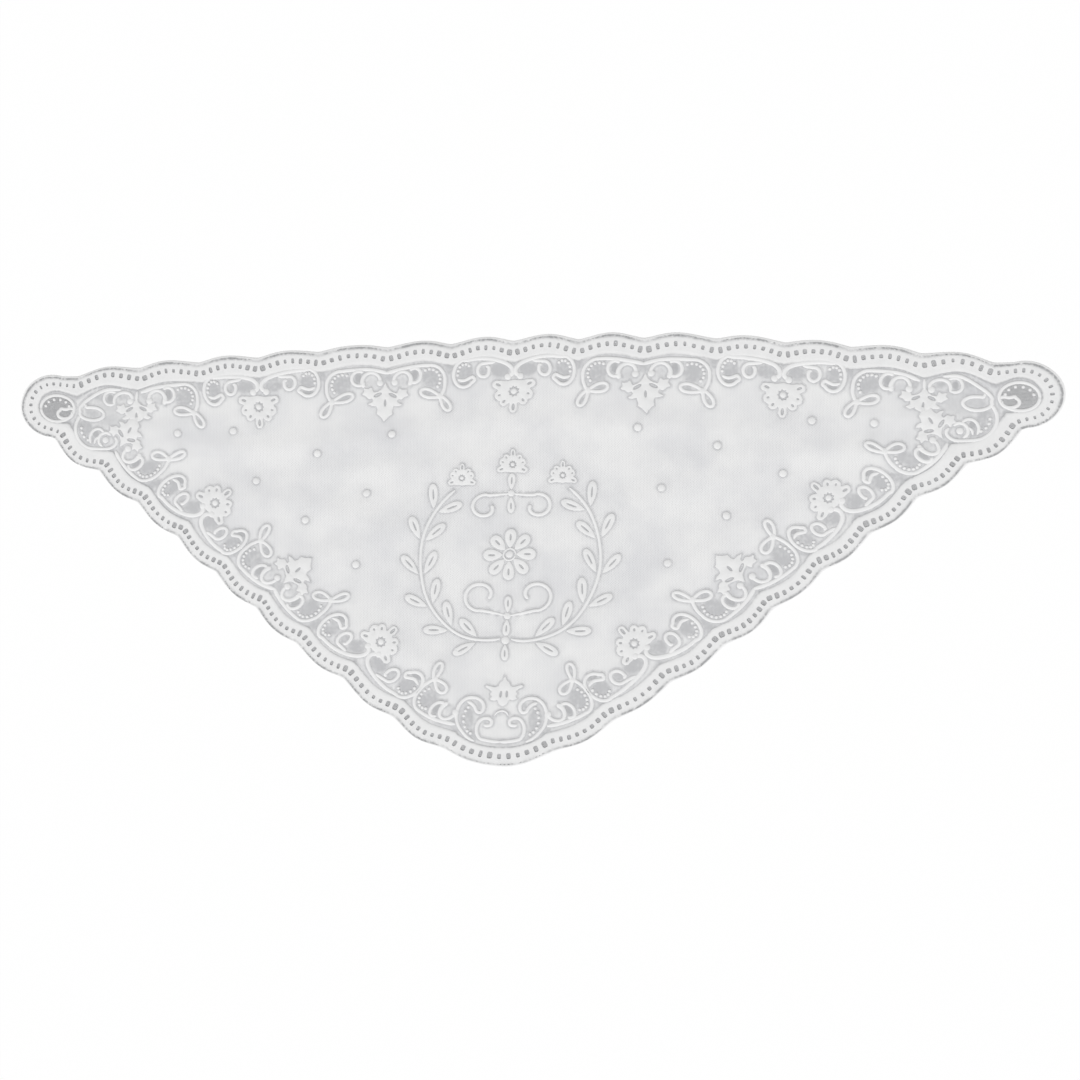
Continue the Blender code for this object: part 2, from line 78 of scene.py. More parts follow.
# How the cut lies on the surface: a slight lean and pull, one long wave, a small wander, and soft creases.
lie = {
    "lean": 0.0372,
    "rightPull": 1.08e-4,
    "rightRise": 9.26e-5,
    "rightLift": 0.00127,
    "slack": 8.4e-5,
    "waveLength": 780.0,
    "waveHeight": 1.2,
    "waveGrowth": 0.0078,
    "wander": 0.45,
    "wanderLength": 12.0,
    # the shares of across and of up that the two waves of the wander run along
    "wanderAcross": (0.4, 1.0),
    "wanderUp": (1.3, -0.5),
    "creaseBend": 0.3,
    "creaseTurns": 3.0,
    # across, up, heading, half length, half width, height
    "creases": [
        (-395.0, 128.0, 4.0, 95.0, 9.0, 0.9),
        (-250.0, 112.0, 2.0, 170.0, 12.0, 1.2),
        (-215.0, 44.0, -9.0, 120.0, 16.0, 1.2),
        (-120.0, 84.0, 3.0, 105.0, 13.0, 1.0),
        (-150.0, 8.0, 24.0, 70.0, 15.0, 1.0),
        (-262.0, -8.0, -38.0, 90.0, 12.0, 1.0),
        (-96.0, -108.0, -35.0, 75.0, 13.0, 0.9),
        (25.0, 128.0, 1.0, 130.0, 12.0, 0.8),
        (120.0, 30.0, 74.0, 75.0, 14.0, 0.9),
        (196.0, 118.0, -2.0, 90.0, 11.0, 1.0),
        (300.0, 92.0, 1.0, 150.0, 13.0, 1.3),
        (182.0, 62.0, 16.0, 85.0, 15.0, 1.1),
        (244.0, 22.0, 31.0, 80.0, 13.0, 1.0),
        (95.0, -62.0, 39.0, 85.0, 13.0, 1.0),
        (374.0, 128.0, -6.0, 60.0, 8.0, 0.8),
        (150.0, -104.0, 42.0, 60.0, 9.0, 0.8),
        (0.0, -100.0, 5.0, 60.0, 12.0, 0.7),
    ],
}


def arcPoint(centre, reach, angle):
    turn = math.radians(angle)
    return Vector((centre[0] + reach[0] * math.cos(turn), centre[1] + reach[1] * math.sin(turn)))


def arcLine(centre, reach, start, end, steps):
    return [arcPoint(centre, reach, start + (end - start) * n / steps) for n in range(steps + 1)]


def ovalLine(centre, reach, steps=28):
    return arcLine(centre, reach, 0.0, 360.0, steps)[:-1]


def ahead(angle):
    return arcPoint((0.0, 0.0), (1.0, 1.0), angle)


def placing(centre, heading, size=(1.0, 1.0)):
    # turns a place to the side and along into one on the cut
    forward = ahead(heading)
    side = forward.orthogonal()
    return lambda beside, along: Vector(centre) + side * beside * size[0] + forward * along * size[1]


def headingOf(way):
    return math.degrees(math.atan2(way.y, way.x))


def pointAt(line, number, closed=False):
    # beyond an end it is the end itself, or on a closed line the next one round
    return line[number % len(line) if closed else min(max(number, 0), len(line) - 1)]


def leftAt(line, number, closed=False):
    return (pointAt(line, number + 1, closed) - pointAt(line, number - 1, closed)).orthogonal().normalized()


def lefts(line, closed=False):
    # the unit direction to the left at each point of a line
    return [leftAt(line, number, closed) for number in range(len(line))]


def ringed(loop):
    # a loop that ends on its first point
    return loop + loop[:1]


def stepLengths(line):
    return [(b - a).length for a, b in zip(line, line[1:])]


def mirrored(points):
    return [Vector((-point.x, point.y)) for point in points]


def asRows(points):
    return np.array([tuple(point) for point in points])


def layFlat(points):
    # rows of (across, up) to millimetres on the surface
    across, up = points[:, 0], points[:, 1]
    x = across + lie["lean"] * up + lie["rightPull"] * across ** 2 - lie["slack"] * up ** 2
    wave = (lie["waveHeight"] + lie["waveGrowth"] * up) * np.sin(2 * math.pi * across / lie["waveLength"])
    y = up + (lie["rightLift"] + lie["rightRise"] * up) * across + wave
    wanders = [lie["wander"] * np.sin((acrossShare * across + upShare * up) / lie["wanderLength"])
               for acrossShare, upShare in (lie["wanderAcross"], lie["wanderUp"])]
    return np.stack([x + wanders[0], y + wanders[1]], axis=1)


def creaseHeight(points):
    # a long low swell for each crease, bending a little and fading at its ends
    height = np.zeros(len(points))
    for across, up, heading, halfLength, halfWidth, rise in lie["creases"]:
        way = ahead(heading)
        dx, dy = points[:, 0] - across, points[:, 1] - up
        along = (dx * way.x + dy * way.y) / halfLength
        bend = lie["creaseBend"] * halfWidth * np.sin(along * lie["creaseTurns"] + across)
        beside = (dy * way.x - dx * way.y + bend) / halfWidth
        height += rise * np.exp(-beside ** 2) * np.exp(-along ** 4)
    return height


def lobeLine(start, end, depth, steps, roundness=cut["roundness"]):
    chord = end - start
    outward = chord.orthogonal().normalized()
    line = []
    for step in range(steps + 1):
        share = step / steps
        bulge = depth * max(math.sin(math.pi * share), 0.0) ** roundness
        line.append(start + chord * share + outward * bulge)
    return line


def onRows(rows, place):
    # a value on straight lines through the rows, and on beyond the last
    for (first, *low), (last, *high) in zip(rows, rows[1:]):
        if place <= last:
            break
    return Vector(low).lerp(Vector(high), (place - first) / (last - first))


def insetCusps(rows, inset, isNeck):
    cusps = [Vector(row) for row in rows]
    inwards = [-left for left in lefts(cusps)]
    if isNeck:
        inwards[0] = Vector((0.0, -1.0))
    moved = [cusp + inward * inset for cusp, inward in zip(cusps, inwards)]
    if isNeck:
        moved[-1] = onRows(cut["neckEnd"], inset)
    else:
        moved[0] = onRows(cut["lowerStart"], inset)
    number, *pinched = cut["neckPinch" if isNeck else "lowerPinch"]
    share = max(inset - cut["pinchFrom"], 0.0) / (cut["bandWidth"] - cut["pinchFrom"])
    moved[number] = moved[number].lerp(Vector(pinched), share)
    return moved


def resampled(line, steps):
    # the same line with evenly spaced points
    lengths = np.cumsum([0.0] + stepLengths(line))
    places = np.linspace(0.0, lengths[-1], steps + 1)
    xs = np.interp(places, lengths, [point.x for point in line])
    ys = np.interp(places, lengths, [point.y for point in line])
    return [Vector(pair) for pair in zip(xs, ys)]


def edgeLines(inset):
    # every lobe of the edge at an inset, clockwise from the middle of the neck
    steps = cut["lobeSteps"]
    share = inset / cut["bandWidth"]

    def across(pair):
        return pair[0] + (pair[1] - pair[0]) * share

    neck = insetCusps(cut["neckCusps"], inset, True)
    lower = insetCusps(cut["lowerCusps"], inset, False)
    depth = np.interp(inset, *zip(*cut["depths"]))
    neckDepths = [depth] * (len(neck) - 2) + [depth + across(cut["neckSwell"])]
    lowerDepths = [depth + across(cut["lowerSwell"])] + [depth] * (len(lower) - 2)
    right = [lobeLine(*ends, steps) for ends in zip(neck, neck[1:], neckDepths)]
    centre = Vector(cut["tipCentre"]).lerp(Vector(cut["tipInnerCentre"]), share)
    reach = Vector(cut["tipReach"]).lerp(Vector(cut["tipInnerReach"]), share)
    arc = arcLine(centre, reach, *cut["tipArc"], steps)
    right.append(resampled([neck[-1]] + arc + [lower[0]], 2 * steps))
    right += [lobeLine(*ends, steps) for ends in zip(lower, lower[1:], lowerDepths)]
    apexEnd = mirrored(lower[-1:])[0]
    apex = lobeLine(lower[-1], apexEnd, across(cut["apexDepth"]), 2 * steps, across(cut["apexRoundness"]))
    left = [mirrored(line)[::-1] for line in reversed(right)]
    return right + [apex] + left


def edgeLoop(inset):
    return [point for line in edgeLines(inset) for point in line[:-1]]


laidEdge = layFlat(asRows(edgeLoop(0.0)))
laidMiddle = (laidEdge.min(axis=0) + laidEdge.max(axis=0)) / 2


def settled(points):
    # rows of (across, up, height) in the cut to metres on the surface, riding over the creases
    flat = np.asarray(points, float)
    spot = (layFlat(flat[:, :2]) - laidMiddle) * mm
    height = (flat[:, 2] + creaseHeight(flat[:, :2])) * mm
    return np.column_stack([spot, height])


def addToScene(name, data):
    made = bpy.data.objects.new(name, data)
    bpy.context.scene.collection.objects.link(made)
    return made


def makePiece(name, points, faces, finishes, faceFinish=None, pointValues=None, sharpAngle=50.0):
    # a mesh piece from cut coordinates, with named values kept on its points
    mesh = bpy.data.meshes.new(name)
    mesh.from_pydata(settled(points).tolist(), [], faces)
    for valueName, values in (pointValues or {}).items():
        rows = np.asarray(values, np.float32)
        kind, field = ("FLOAT_VECTOR", "vector") if rows.ndim == 2 else ("FLOAT", "value")
        mesh.attributes.new(valueName, kind, "POINT").data.foreach_set(field, rows.ravel())
    for finish in finishes:
        mesh.materials.append(finish)
    if faceFinish is not None:
        mesh.polygons.foreach_set("material_index", np.asarray(faceFinish, np.int32))
    mesh.shade_smooth()
    mesh.set_sharp_from_angle(angle=math.radians(sharpAngle))
    piece = addToScene(name, mesh)
    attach(piece, "root")
    print(f"{name}: {sum(len(face) - 2 for face in faces)} triangles")
    return piece


def signedArea(loop):
    return sum(a.cross(b) for a, b in zip(loop, ringed(loop)[1:])) / 2


def counterClockwise(loop):
    return loop if signedArea(loop) > 0 else loop[::-1]


def triangulated(loops, lines=(), loose=()):
    # triangles inside the first loop and outside the others, through the given lines and loose points
    points, edges, around = [], [], []
    for loop in loops:
        numbers = list(range(len(points), len(points) + len(loop)))
        points += loop
        edges += list(zip(numbers, ringed(numbers)[1:]))
        around.append(numbers if signedArea(loop) > 0 else numbers[::-1])
    for line in lines:
        first = len(points)
        points += line
        edges += [(n, n + 1) for n in range(first, len(points) - 1)]
    points += list(loose)
    nearEnough = 1e-5  # points closer than this become one
    flat, _, faces, origins, _, insides = delaunay_2d_cdt(points, edges, around, 0, nearEnough, True)
    kept = [face for face, inside in zip(faces, insides) if list(inside) == [0]]
    newNumber = {old: new for new, olds in enumerate(origins) for old in olds}
    return flat, kept, newNumber


def closedPanel(sides, wallsFrom):
    # a thin closed sheet from its two sides: (loops, lines, loose points, height function), upper side first.
    # Returns the points, the faces, and for each face the number of the loop that it walls, or -1
    points, faces, wallOf, rims = [], [], [], []
    for isTop, (loops, lines, loose, heightAt) in zip((True, False), sides):
        flat, inside, newNumber = triangulated(loops, lines, loose)
        used = sorted({corner for face in inside for corner in face})
        place = {number: len(points) + n for n, number in enumerate(used)}
        spots = asRows([flat[number] for number in used])
        points += np.column_stack([spots, heightAt(spots)]).tolist()
        for face in inside:
            corners = tuple(place[corner] for corner in face)
            faces.append(corners if isTop else corners[::-1])
            wallOf.append(-1)
        number, sideRims = 0, []
        for loop in loops:
            sideRims.append([place[newNumber[number + n]] for n in range(len(loop))])
            number += len(loop)
        rims.append(sideRims)
    for index, (high, low) in enumerate(zip(*rims)):
        facesOut = (signedArea(wallsFrom[index]) > 0) == (index == 0)
        for n in range(len(high)):
            m = (n + 1) % len(high)
            face = (low[n], low[m], high[m], high[n])
            faces.append(face if facesOut else face[::-1])
            wallOf.append(index)
    return points, faces, wallOf


def offsetLoop(loop, distance):
    # each point moved to the left of the way round: inward on a counter-clockwise loop
    return [point + left * distance for point, left in zip(loop, lefts(loop, True))]


def smoothLine(line, closed=False, pieces=3):
    # a curve through the points of a line
    points = []
    for span in range(len(line) if closed else len(line) - 1):
        a, b, c, d = (pointAt(line, span + k, closed) for k in (-1, 0, 1, 2))
        for piece in range(pieces):
            t = piece / pieces
            points.append(0.5 * (2 * b + (c - a) * t + (2 * a - 5 * b + 4 * c - d) * t ** 2
                                 + (3 * b - a - 3 * c + d) * t ** 3))
    return points if closed else points + [line[-1].copy()]


class Stitching:
    # many small raised forms gathered into one piece

    def __init__(self):
        self.points = []
        self.faces = []
        self.runs = []

    def add(self, points, faces, runs=None):
        first = len(self.points)
        self.points += [tuple(point) for point in points]
        self.faces += [tuple(first + corner for corner in face) for face in faces]
        self.runs += runs if runs else [(point[0], point[1], 0.0) for point in points]

    def make(self, name, finish, slotName):
        values = {"threadRun": self.runs}
        return makePiece(name, self.points, self.faces, [finish], pointValues=values)


# The raised work. Each profile has shares of the width or reach, and of the height.
relief = {
    "low": 0.6,
    "cordHigh": 1.6,
    "cordStagger": 0.07,  # cords take turns at four heights, so that where two cross one is on top
    "cordHeights": 4,
    "padHigh": 1.3,
    "knotHigh": 1.7,
    "cordSection": [(-0.5, 0.0), (-0.46, 0.5), (-0.22, 0.92), (0.22, 0.92), (0.46, 0.5), (0.5, 0.0)],
    # the share of its width that a cord starts with and gains at each point, its least share of the height
    "cordStart": 0.5,
    "cordGain": 0.25,
    "cordEndHeight": 0.6,
    "padRim": 0.45,
    "padProfile": [(0.0, 0.0), (0.0, 0.5), (0.35, 0.85), (1.0, 1.0)],
    "knotProfile": [(1.0, 0.0), (1.0, 0.4), (0.78, 0.8), (0.36, 0.98)],
    "knotCorners": 10,
}


def addCord(stitching, line, widths, low, high, closed=False):
    # a rounded cord that lies on the net along a line
    section = relief["cordSection"]
    count, size = len(line), len(section)
    points, runs, faces = [], [], []
    travelled = 0.0
    for index, (point, left) in enumerate(zip(line, lefts(line, closed))):
        if index:
            travelled += (point - line[index - 1]).length
        fromEnd = min(index, count - 1 - index)
        ending = 1.0 if closed else min(1.0, relief["cordStart"] + relief["cordGain"] * fromEnd)
        width = widths[index] * ending
        height = (high - low) * (relief["cordEndHeight"] + (1 - relief["cordEndHeight"]) * ending)
        for across, rise in section:
            points.append((*(point - left * across * width), low + height * rise))
            runs.append((travelled, across * width, rise))
    for index in range(count if closed else count - 1):
        here, there = index * size, (index + 1) % count * size
        for n in range(size):
            m = (n + 1) % size
            faces.append((here + m, here + n, there + n, there + m))
    if not closed:
        faces.append(tuple(range(size)))
        faces.append(tuple((count - 1) * size + n for n in reversed(range(size))))
    stitching.add(points, faces, runs)


def ringFaces(first, count, rings, inward=False):
    # the faces between rings of points that follow each other
    faces = []
    for start in range(first, first + (rings - 1) * count, count):
        for n in range(count):
            a, b = start + n, start + (n + 1) % count
            face = (a, b, b + count, a + count)
            faces.append(face[::-1] if inward else face)
    return faces


def addPad(stitching, outline, holes, low, high):
    # a low pad of close stitches with a rounded rim; its holes go through
    loops = [counterClockwise(loop) for loop in [outline] + holes]
    profile = relief["padProfile"]
    points, faces, tops, bottoms = [], [], [], []
    for index, loop in enumerate(loops):
        inward = 1 if index == 0 else -1
        first, count = len(points), len(loop)
        for reach, rise in profile:
            ring = offsetLoop(loop, relief["padRim"] * reach * inward)
            points += [(*point, low + (high - low) * rise) for point in ring]
        faces += ringFaces(first, count, len(profile), inward < 0)
        bottoms.append((first, count))
        tops.append((first + (len(profile) - 1) * count, count))
    for starts, height, isTop in ((tops, high, True), (bottoms, low, False)):
        rims = [[Vector(points[start + n][:2]) for n in range(count)] for start, count in starts]
        flat, inside, newNumber = triangulated(rims)
        numbers = [start + n for start, count in starts for n in range(count)]
        place = {newNumber[old]: number for old, number in enumerate(numbers)}
        for face in inside:
            for corner in face:
                if corner not in place:
                    place[corner] = len(points)
                    points.append((*flat[corner], height))
            corners = tuple(place[corner] for corner in face)
            faces.append(corners if isTop else corners[::-1])
    stitching.add(points, faces)


def addKnot(stitching, centre, radius, low, high):
    # a small domed knot
    profile, corners = relief["knotProfile"], relief["knotCorners"]
    points = []
    for reach, rise in profile:
        ring = ovalLine(centre, (radius * reach,) * 2, corners)
        points += [(*point, low + (high - low) * rise) for point in ring]
    last = (len(profile) - 1) * corners
    ends = [tuple(last + n for n in range(corners)), tuple(reversed(range(corners)))]
    stitching.add(points, ringFaces(0, corners, len(profile)) + ends)


scroll = {
    "width": 3.6,
    "taper": 2.2,          # a wide lead-in comes down to this width over 1 / 2.2 of its line
    "loopWidth": 3.5,
    "loopWaist": -0.12,
    "picotRadius": 1.65,
    "bulbRadius": 3.4,
    "arcStep": 17.0,       # degrees of a scroll between its guide points
    "pitch": 66.0,         # the scallop that the scrolls are drawn for
    "cornerStart": 840.0,  # scallops further out than this have the corner's own large scrolls
    # along the lower edges the scrolls lean towards the apex and lie deeper from this far in,
    # a flower's scrolls are moved across and up, and the scrolls beside the apex are drawn together
    "leanFrom": 15.0,
    "lowerLean": 0.2,
    "lowerDeepen": 0.13,
    "flowerDrift": (-5.5, 1.5),
    "apexSqueeze": 0.87,
}


class Figures:
    # figures drawn on the net, before they are stitched

    def __init__(self):
        self.strokes = []  # line, width at each point, closed
        self.pads = []     # outline, holes
        self.knots = []    # centre, radius
        self.shades = []   # centre, two half axes, strength

    def mirrored(self):
        other = Figures()
        other.strokes = [(mirrored(line), widths, closed) for line, widths, closed in self.strokes]
        other.pads = [(mirrored(outline), [mirrored(hole) for hole in holes]) for outline, holes in self.pads]
        other.knots = [(mirrored([centre])[0], radius) for centre, radius in self.knots]
        for centre, *axes, strength in self.shades:
            other.shades.append((*mirrored([centre, *axes]), strength))
        return other

    def take(self, other):
        for name in ("strokes", "pads", "knots", "shades"):
            getattr(self, name).extend(getattr(other, name))
        return self

    def stroke(self, line, width, closed=False, startWidth=None):
        count, start = len(line), startWidth or width
        widths = [start + (width - start) * min(1.0, scroll["taper"] * n / count) for n in range(count)]
        self.strokes.append((line, widths, closed))

    def knotArc(self, centre, reach, first, last, count, place=Vector):
        for point in arcLine(centre, reach, first, last, count - 1):
            self.knots.append((place(point), scroll["picotRadius"]))

    def shade(self, centre, reach, strength, place=Vector):
        middle = place(centre)
        alongAxis = place((centre[0] + reach[0], centre[1])) - middle
        inAxis = place((centre[0], centre[1] + reach[1])) - middle
        self.shades.append((middle, alongAxis, inAxis, strength))


def both(figures):
    return Figures().take(figures).take(figures.mirrored())


def scrollLine(lead, centre, reach, start, sweep, tighten, trail):
    steps = max(4, round(abs(sweep) / scroll["arcStep"]))
    line = [Vector(point) for point in lead]
    for step in range(steps + 1):
        share = step / steps
        size = 1 - tighten * share ** 2
        line.append(arcPoint(centre, (reach[0] * size, reach[1] * size), start + sweep * share))
    return smoothLine(line + [Vector(point) for point in trail])


def dropLine(root, length, width, heading, waist=0.25, swell=1.1, steps=14):
    # a teardrop with its narrow end at its root, from its waist there to its swell at the round end
    place = placing(root, heading)
    line = []
    for step in range(steps):
        angle = 2 * math.pi * (step + 0.5) / steps
        along = length * (1 - math.cos(angle)) / 2
        beside = width / 2 * math.sin(angle) * (waist + (swell - waist) * math.sin(angle / 2))
        line.append(place(beside, along))
    return smoothLine(line, closed=True, pieces=2)


def placedFigures(drawn, place=Vector):
    # the figures of a table, each point through the given placing
    figures = Figures()
    for *row, startWidth in drawn["scrolls"]:
        figures.stroke([place(point) for point in scrollLine(*row)], scroll["width"], startWidth=startWidth)
    for *root, length, width, heading in drawn.get("loops", []):
        drop = dropLine(Vector(root), length, width, heading, scroll["loopWaist"])
        figures.stroke([place(point) for point in drop], scroll["loopWidth"], closed=True)
    for points, width in drawn.get("cords", []):
        figures.stroke(smoothLine([place(point) for point in points]), width)
    for row in drawn.get("picots", []):
        figures.knotArc(*row, place=place)
    figures.knots += [(place(point), scroll["bulbRadius"]) for point in drawn.get("bulbs", [])]
    for row in drawn.get("shades", []):
        figures.shade(*row, place=place)
    return figures


# One scallop's figures: along, from the cusp where two scrolls meet to the one with a flower or a leaf, and
# in from the outer edge. Angles are in degrees.
scallopFlower = {
    # lead-in points, centre, reach, start, sweep, tighten, lead-out points, width at the lead-in
    "scrolls": [
        ([(59.0, 34.8), (63.4, 31.8), (63.4, 26.8), (58.8, 22.2), (50.6, 19.0), (40.0, 16.8), (28.0, 15.8)],
         (14.2, 29.8), (11.2, 13.8), -76.0, -239.0, 0.0,
         [(24.8, 37.2), (22.6, 33.8), (19.2, 35.0), (13.6, 37.0), (7.4, 35.4)], 4.8),
        ([(46.0, 20.0), (41.0, 20.6)], (34.0, 28.0), (6.2, 6.8), -92.0, -262.0, 0.1,
         [(39.2, 25.2), (36.6, 24.6)], None),
    ],
    # centre, reach, first angle, last angle, number
    "picots": [((14.4, 29.6), (7.2, 9.4), -52.0, -188.0, 6)],
    "bulbs": [(59.0, 35.0)],
    # centre, half axes, strength of the painted shade over the open ground
    "shades": [
        ((14.0, 28.6), (11.0, 12.0), 0.95), ((51.0, 28.6), (11.5, 8.5), 1.0), ((34.4, 28.4), (5.0, 5.6), 0.9),
        ((0.0, 25.0), (6.5, 6.0), 0.9), ((15.4, 40.2), (8.4, 3.2), 1.2),
    ],
}
scallopLeaf = {
    # two small scrolls beside the leaf, and the one that forks into the loops
    "scrolls": [
        ([], (37.6, 29.4), (6.9, 7.4), -50.0, -272.0, 0.0, [], None),
        ([], (49.8, 33.4), (8.9, 8.9), 142.0, 222.0, 0.0, [], 5.2),
        ([(67.0, 25.8), (60.0, 23.6), (51.0, 21.6), (42.0, 20.4), (30.0, 19.8)],
         (21.0, 34.8), (15.4, 14.9), -85.0, -100.0, 0.0, [(6.0, 42.0), (8.2, 47.8), (11.0, 52.4)], 4.4),
    ],
    # root along and in, length, width, heading
    "loops": [(10.0, 51.4, 21.5, 9.6, -14.0), (11.0, 49.6, 18.6, 8.8, 121.0)],
    "picots": [((21.6, 34.6), (11.0, 10.6), -66.0, -220.0, 8)],
    "bulbs": [(58.0, 35.0), (10.8, 51.2)],
    "shades": [
        ((37.2, 29.4), (4.8, 6.6), 1.2), ((62.0, 29.0), (6.0, 7.0), 0.8), ((49.8, 35.0), (6.0, 6.0), 0.4),
        ((19.5, 32.0), (14.5, 14.5), 0.95), ((0.0, 25.0), (6.5, 6.0), 0.9), ((24.0, 48.0), (6.0, 3.4), 1.0),
        ((3.6, 61.0), (3.4, 3.8), 1.0),
    ],
}


def scallopPlace(meet, motif, lean, deepen, squeeze):
    # maps (along, in) of one scallop to the cut
    chord = motif - meet
    along = chord.normalized()
    inward = along.orthogonal()
    if inward.dot(Vector(cut["middle"]) - meet) < 0:
        inward = -inward
    stretch = squeeze * chord.length / scroll["pitch"]

    def place(point):
        past = point[1] - scroll["leanFrom"]
        return meet + along * point[0] * stretch + inward * (point[1] + deepen * max(past, 0.0)) + lean * past

    return place


def scallopFigures(rows, names, isLower):
    cusps = [Vector(row) for row in rows]
    figures = Figures()
    for index, (first, second) in enumerate(zip(cusps, cusps[1:])):
        if first.x + second.x > scroll["cornerStart"]:
            continue
        pair = {names[index]: first, names[index + 1]: second}
        meet = pair.pop("meet")
        (motifName, motif), = pair.items()
        lean, deepen, squeeze = Vector((0.0, 0.0)), 0.0, 1.0
        if isLower:
            lean = (second - first).normalized() * scroll["lowerLean"]
            deepen = scroll["lowerDeepen"]
            squeeze = scroll["apexSqueeze"] if index == len(cusps) - 2 else 1.0
        if isLower and motifName == "flower":
            meet, motif = (cusp + Vector(scroll["flowerDrift"]) for cusp in (meet, motif))
        drawn = scallopFlower if motifName == "flower" else scallopLeaf
        figures.take(placedFigures(drawn, scallopPlace(meet, motif, lean, deepen, squeeze)))
    return figures


flower = {
    # half of its outline and of its holes: to the side, along from the eye towards the hanging petal
    "rim": [(0.0, 21.8), (2.6, 20.8), (4.0, 17.0), (3.6, 12.8), (4.8, 11.4), (7.2, 13.8), (10.6, 14.4),
            (13.4, 12.2), (13.4, 9.2), (15.2, 8.8), (17.8, 6.8), (18.8, 3.4), (17.8, 0.2), (15.8, -1.6),
            (18.0, -3.0), (21.0, -5.0), (21.4, -8.4), (18.8, -11.2), (13.6, -11.2), (7.0, -10.6),
            (0.0, -11.6)],
    # to the side, along, length, width, turn
    "holes": [(0.0, 16.0, 7.0, 3.0, 0.0), (9.4, 9.6, 3.4, 2.2, 38.0), (14.2, 3.2, 2.8, 1.9, 75.0),
              (15.6, -7.0, 5.4, 2.5, 112.0)],
    "eyeRing": (4.3, 5.7),  # its rim goes in and out between these
    "eyeRays": 9,
    "eyeRadius": 3.0,
}

leaf = {
    "rim": [(0.0, -17.5), (1.7, -14.0), (3.4, -10.8), (7.4, -8.0), (12.4, -6.8), (14.4, -12.2), (17.8, -9.8),
            (22.8, -10.6), (21.6, -7.2), (24.6, -3.8), (20.4, -2.4), (17.6, 0.4), (13.2, -0.6), (12.4, 2.4),
            (17.8, 5.4), (13.4, 7.2), (9.0, 6.8), (7.8, 10.2), (8.0, 14.8), (4.4, 17.2), (0.0, 22.4)],
    "holes": [(0.0, 3.4, 7.6, 2.6, 0.0), (7.8, -4.4, 9.4, 3.6, 64.0)],
    "tipFrom": 8.0,  # its tip starts this far along
}

# the leaf that stands in the apex
palmette = {
    "rim": [(0.0, -13.8), (3.4, -13.0), (4.8, -10.4), (5.6, -8.0), (9.4, -8.4), (13.8, -6.8), (11.6, -4.2),
            (13.8, -1.6), (12.0, 0.6), (14.4, 3.0), (19.4, 5.2), (17.6, 7.4), (12.4, 6.0), (8.4, 5.2),
            (5.8, 6.8), (4.6, 9.6), (2.4, 12.0), (0.0, 17.0)],
    "holes": [(3.0, -2.0, 7.2, 2.6, -4.0)],
}


def leafLoop(centre, rows, heading, size=(1.0, 1.0), tip=1.0):
    # a pointed loop from half a table of places to the side and along, the other half its mirror image
    place = placing(centre, heading, size)
    places = [(beside, along * (tip if along > leaf["tipFrom"] else 1.0)) for beside, along in rows]
    return [place(*pair) for pair in places] + [place(-beside, along) for beside, along in places[-2:0:-1]]


def crinkled(loop, spacing=1.6, depth=0.28):
    # the uneven rim that close stitches leave
    rough = random.Random(round(loop[0].x * 7 + loop[0].y))
    points = resampled(ringed(loop), round(sum(stepLengths(ringed(loop))) / spacing))[:-1]
    return [point + left * rough.uniform(-depth, depth) for point, left in zip(points, lefts(points, True))]


def slitLoop(middle, length, width, heading, corners=10):
    place = placing(middle, heading)
    return [place(point.y, point.x) for point in ovalLine((0.0, 0.0), (length / 2, width / 2), corners)]


def holeLoops(centre, rows, heading, size=(1.0, 1.0)):
    place = placing(centre, heading, size)
    loops = []
    for beside, along, length, width, turn in rows:
        for hand in ((-1, 1) if beside else (1,)):
            middle = place(beside * hand, along)
            loops.append(slitLoop(middle, length * size[1], width * size[1], heading + turn * hand))
    return loops


def drawFlower(figures, centre, heading, size=1.0):
    holes = holeLoops(centre, flower["holes"], heading, (size, size))
    rays = flower["eyeRays"]
    rim = [flower["eyeRing"][n % 2] * size for n in range(2 * rays)]
    holes.append([arcPoint(centre, (reach, reach), 180 * n / rays) for n, reach in enumerate(rim)])
    outline = smoothLine(leafLoop(centre, flower["rim"], heading, (size, size)), closed=True, pieces=2)
    figures.pads.append((crinkled(outline), holes))
    figures.knots.append((Vector(centre), flower["eyeRadius"] * size))


def drawLeaf(figures, centre, heading, shape=leaf, size=(1.0, 1.0), tip=1.0):
    # tip: the share of its point that is left where two leaves crowd each other
    outline = leafLoop(centre, shape["rim"], heading, size, tip)
    figures.pads.append((crinkled(outline), holeLoops(centre, shape["holes"], heading, size)))


# The flowers and leaves that hang from the edge: inward from the cusp, lean towards the next cusp.
hanging = {
    "neck": {"flower": (50.0, 0.04), "leaf": (52.0, 0.067)},
    "lower": {"flower": (53.0, 0.16), "leaf": (54.5, 0.15)},
    # the two leaves that crowd each corner: centre, heading, shape, size across and along, share of the tip
    "cornerLeaves": [
        ((393.2, 142.8), -93.0, leaf, (0.93, 0.92), 0.5),
        ((402.3, 121.8), 122.0, leaf, (0.86, 1.0), 0.9),
    ],
}


def hangingFigures(rows, names, places):
    cusps = [Vector(row) for row in rows]
    figures = Figures()
    for index, name in enumerate(names):
        if index and name in places:
            distance, lean = places[name]
            inward = (cusps[index + 1] - cusps[index]).normalized() * lean - leftAt(cusps, index)
            draw = drawFlower if name == "flower" else drawLeaf
            draw(figures, cusps[index] + inward * distance, headingOf(inward))
    return figures


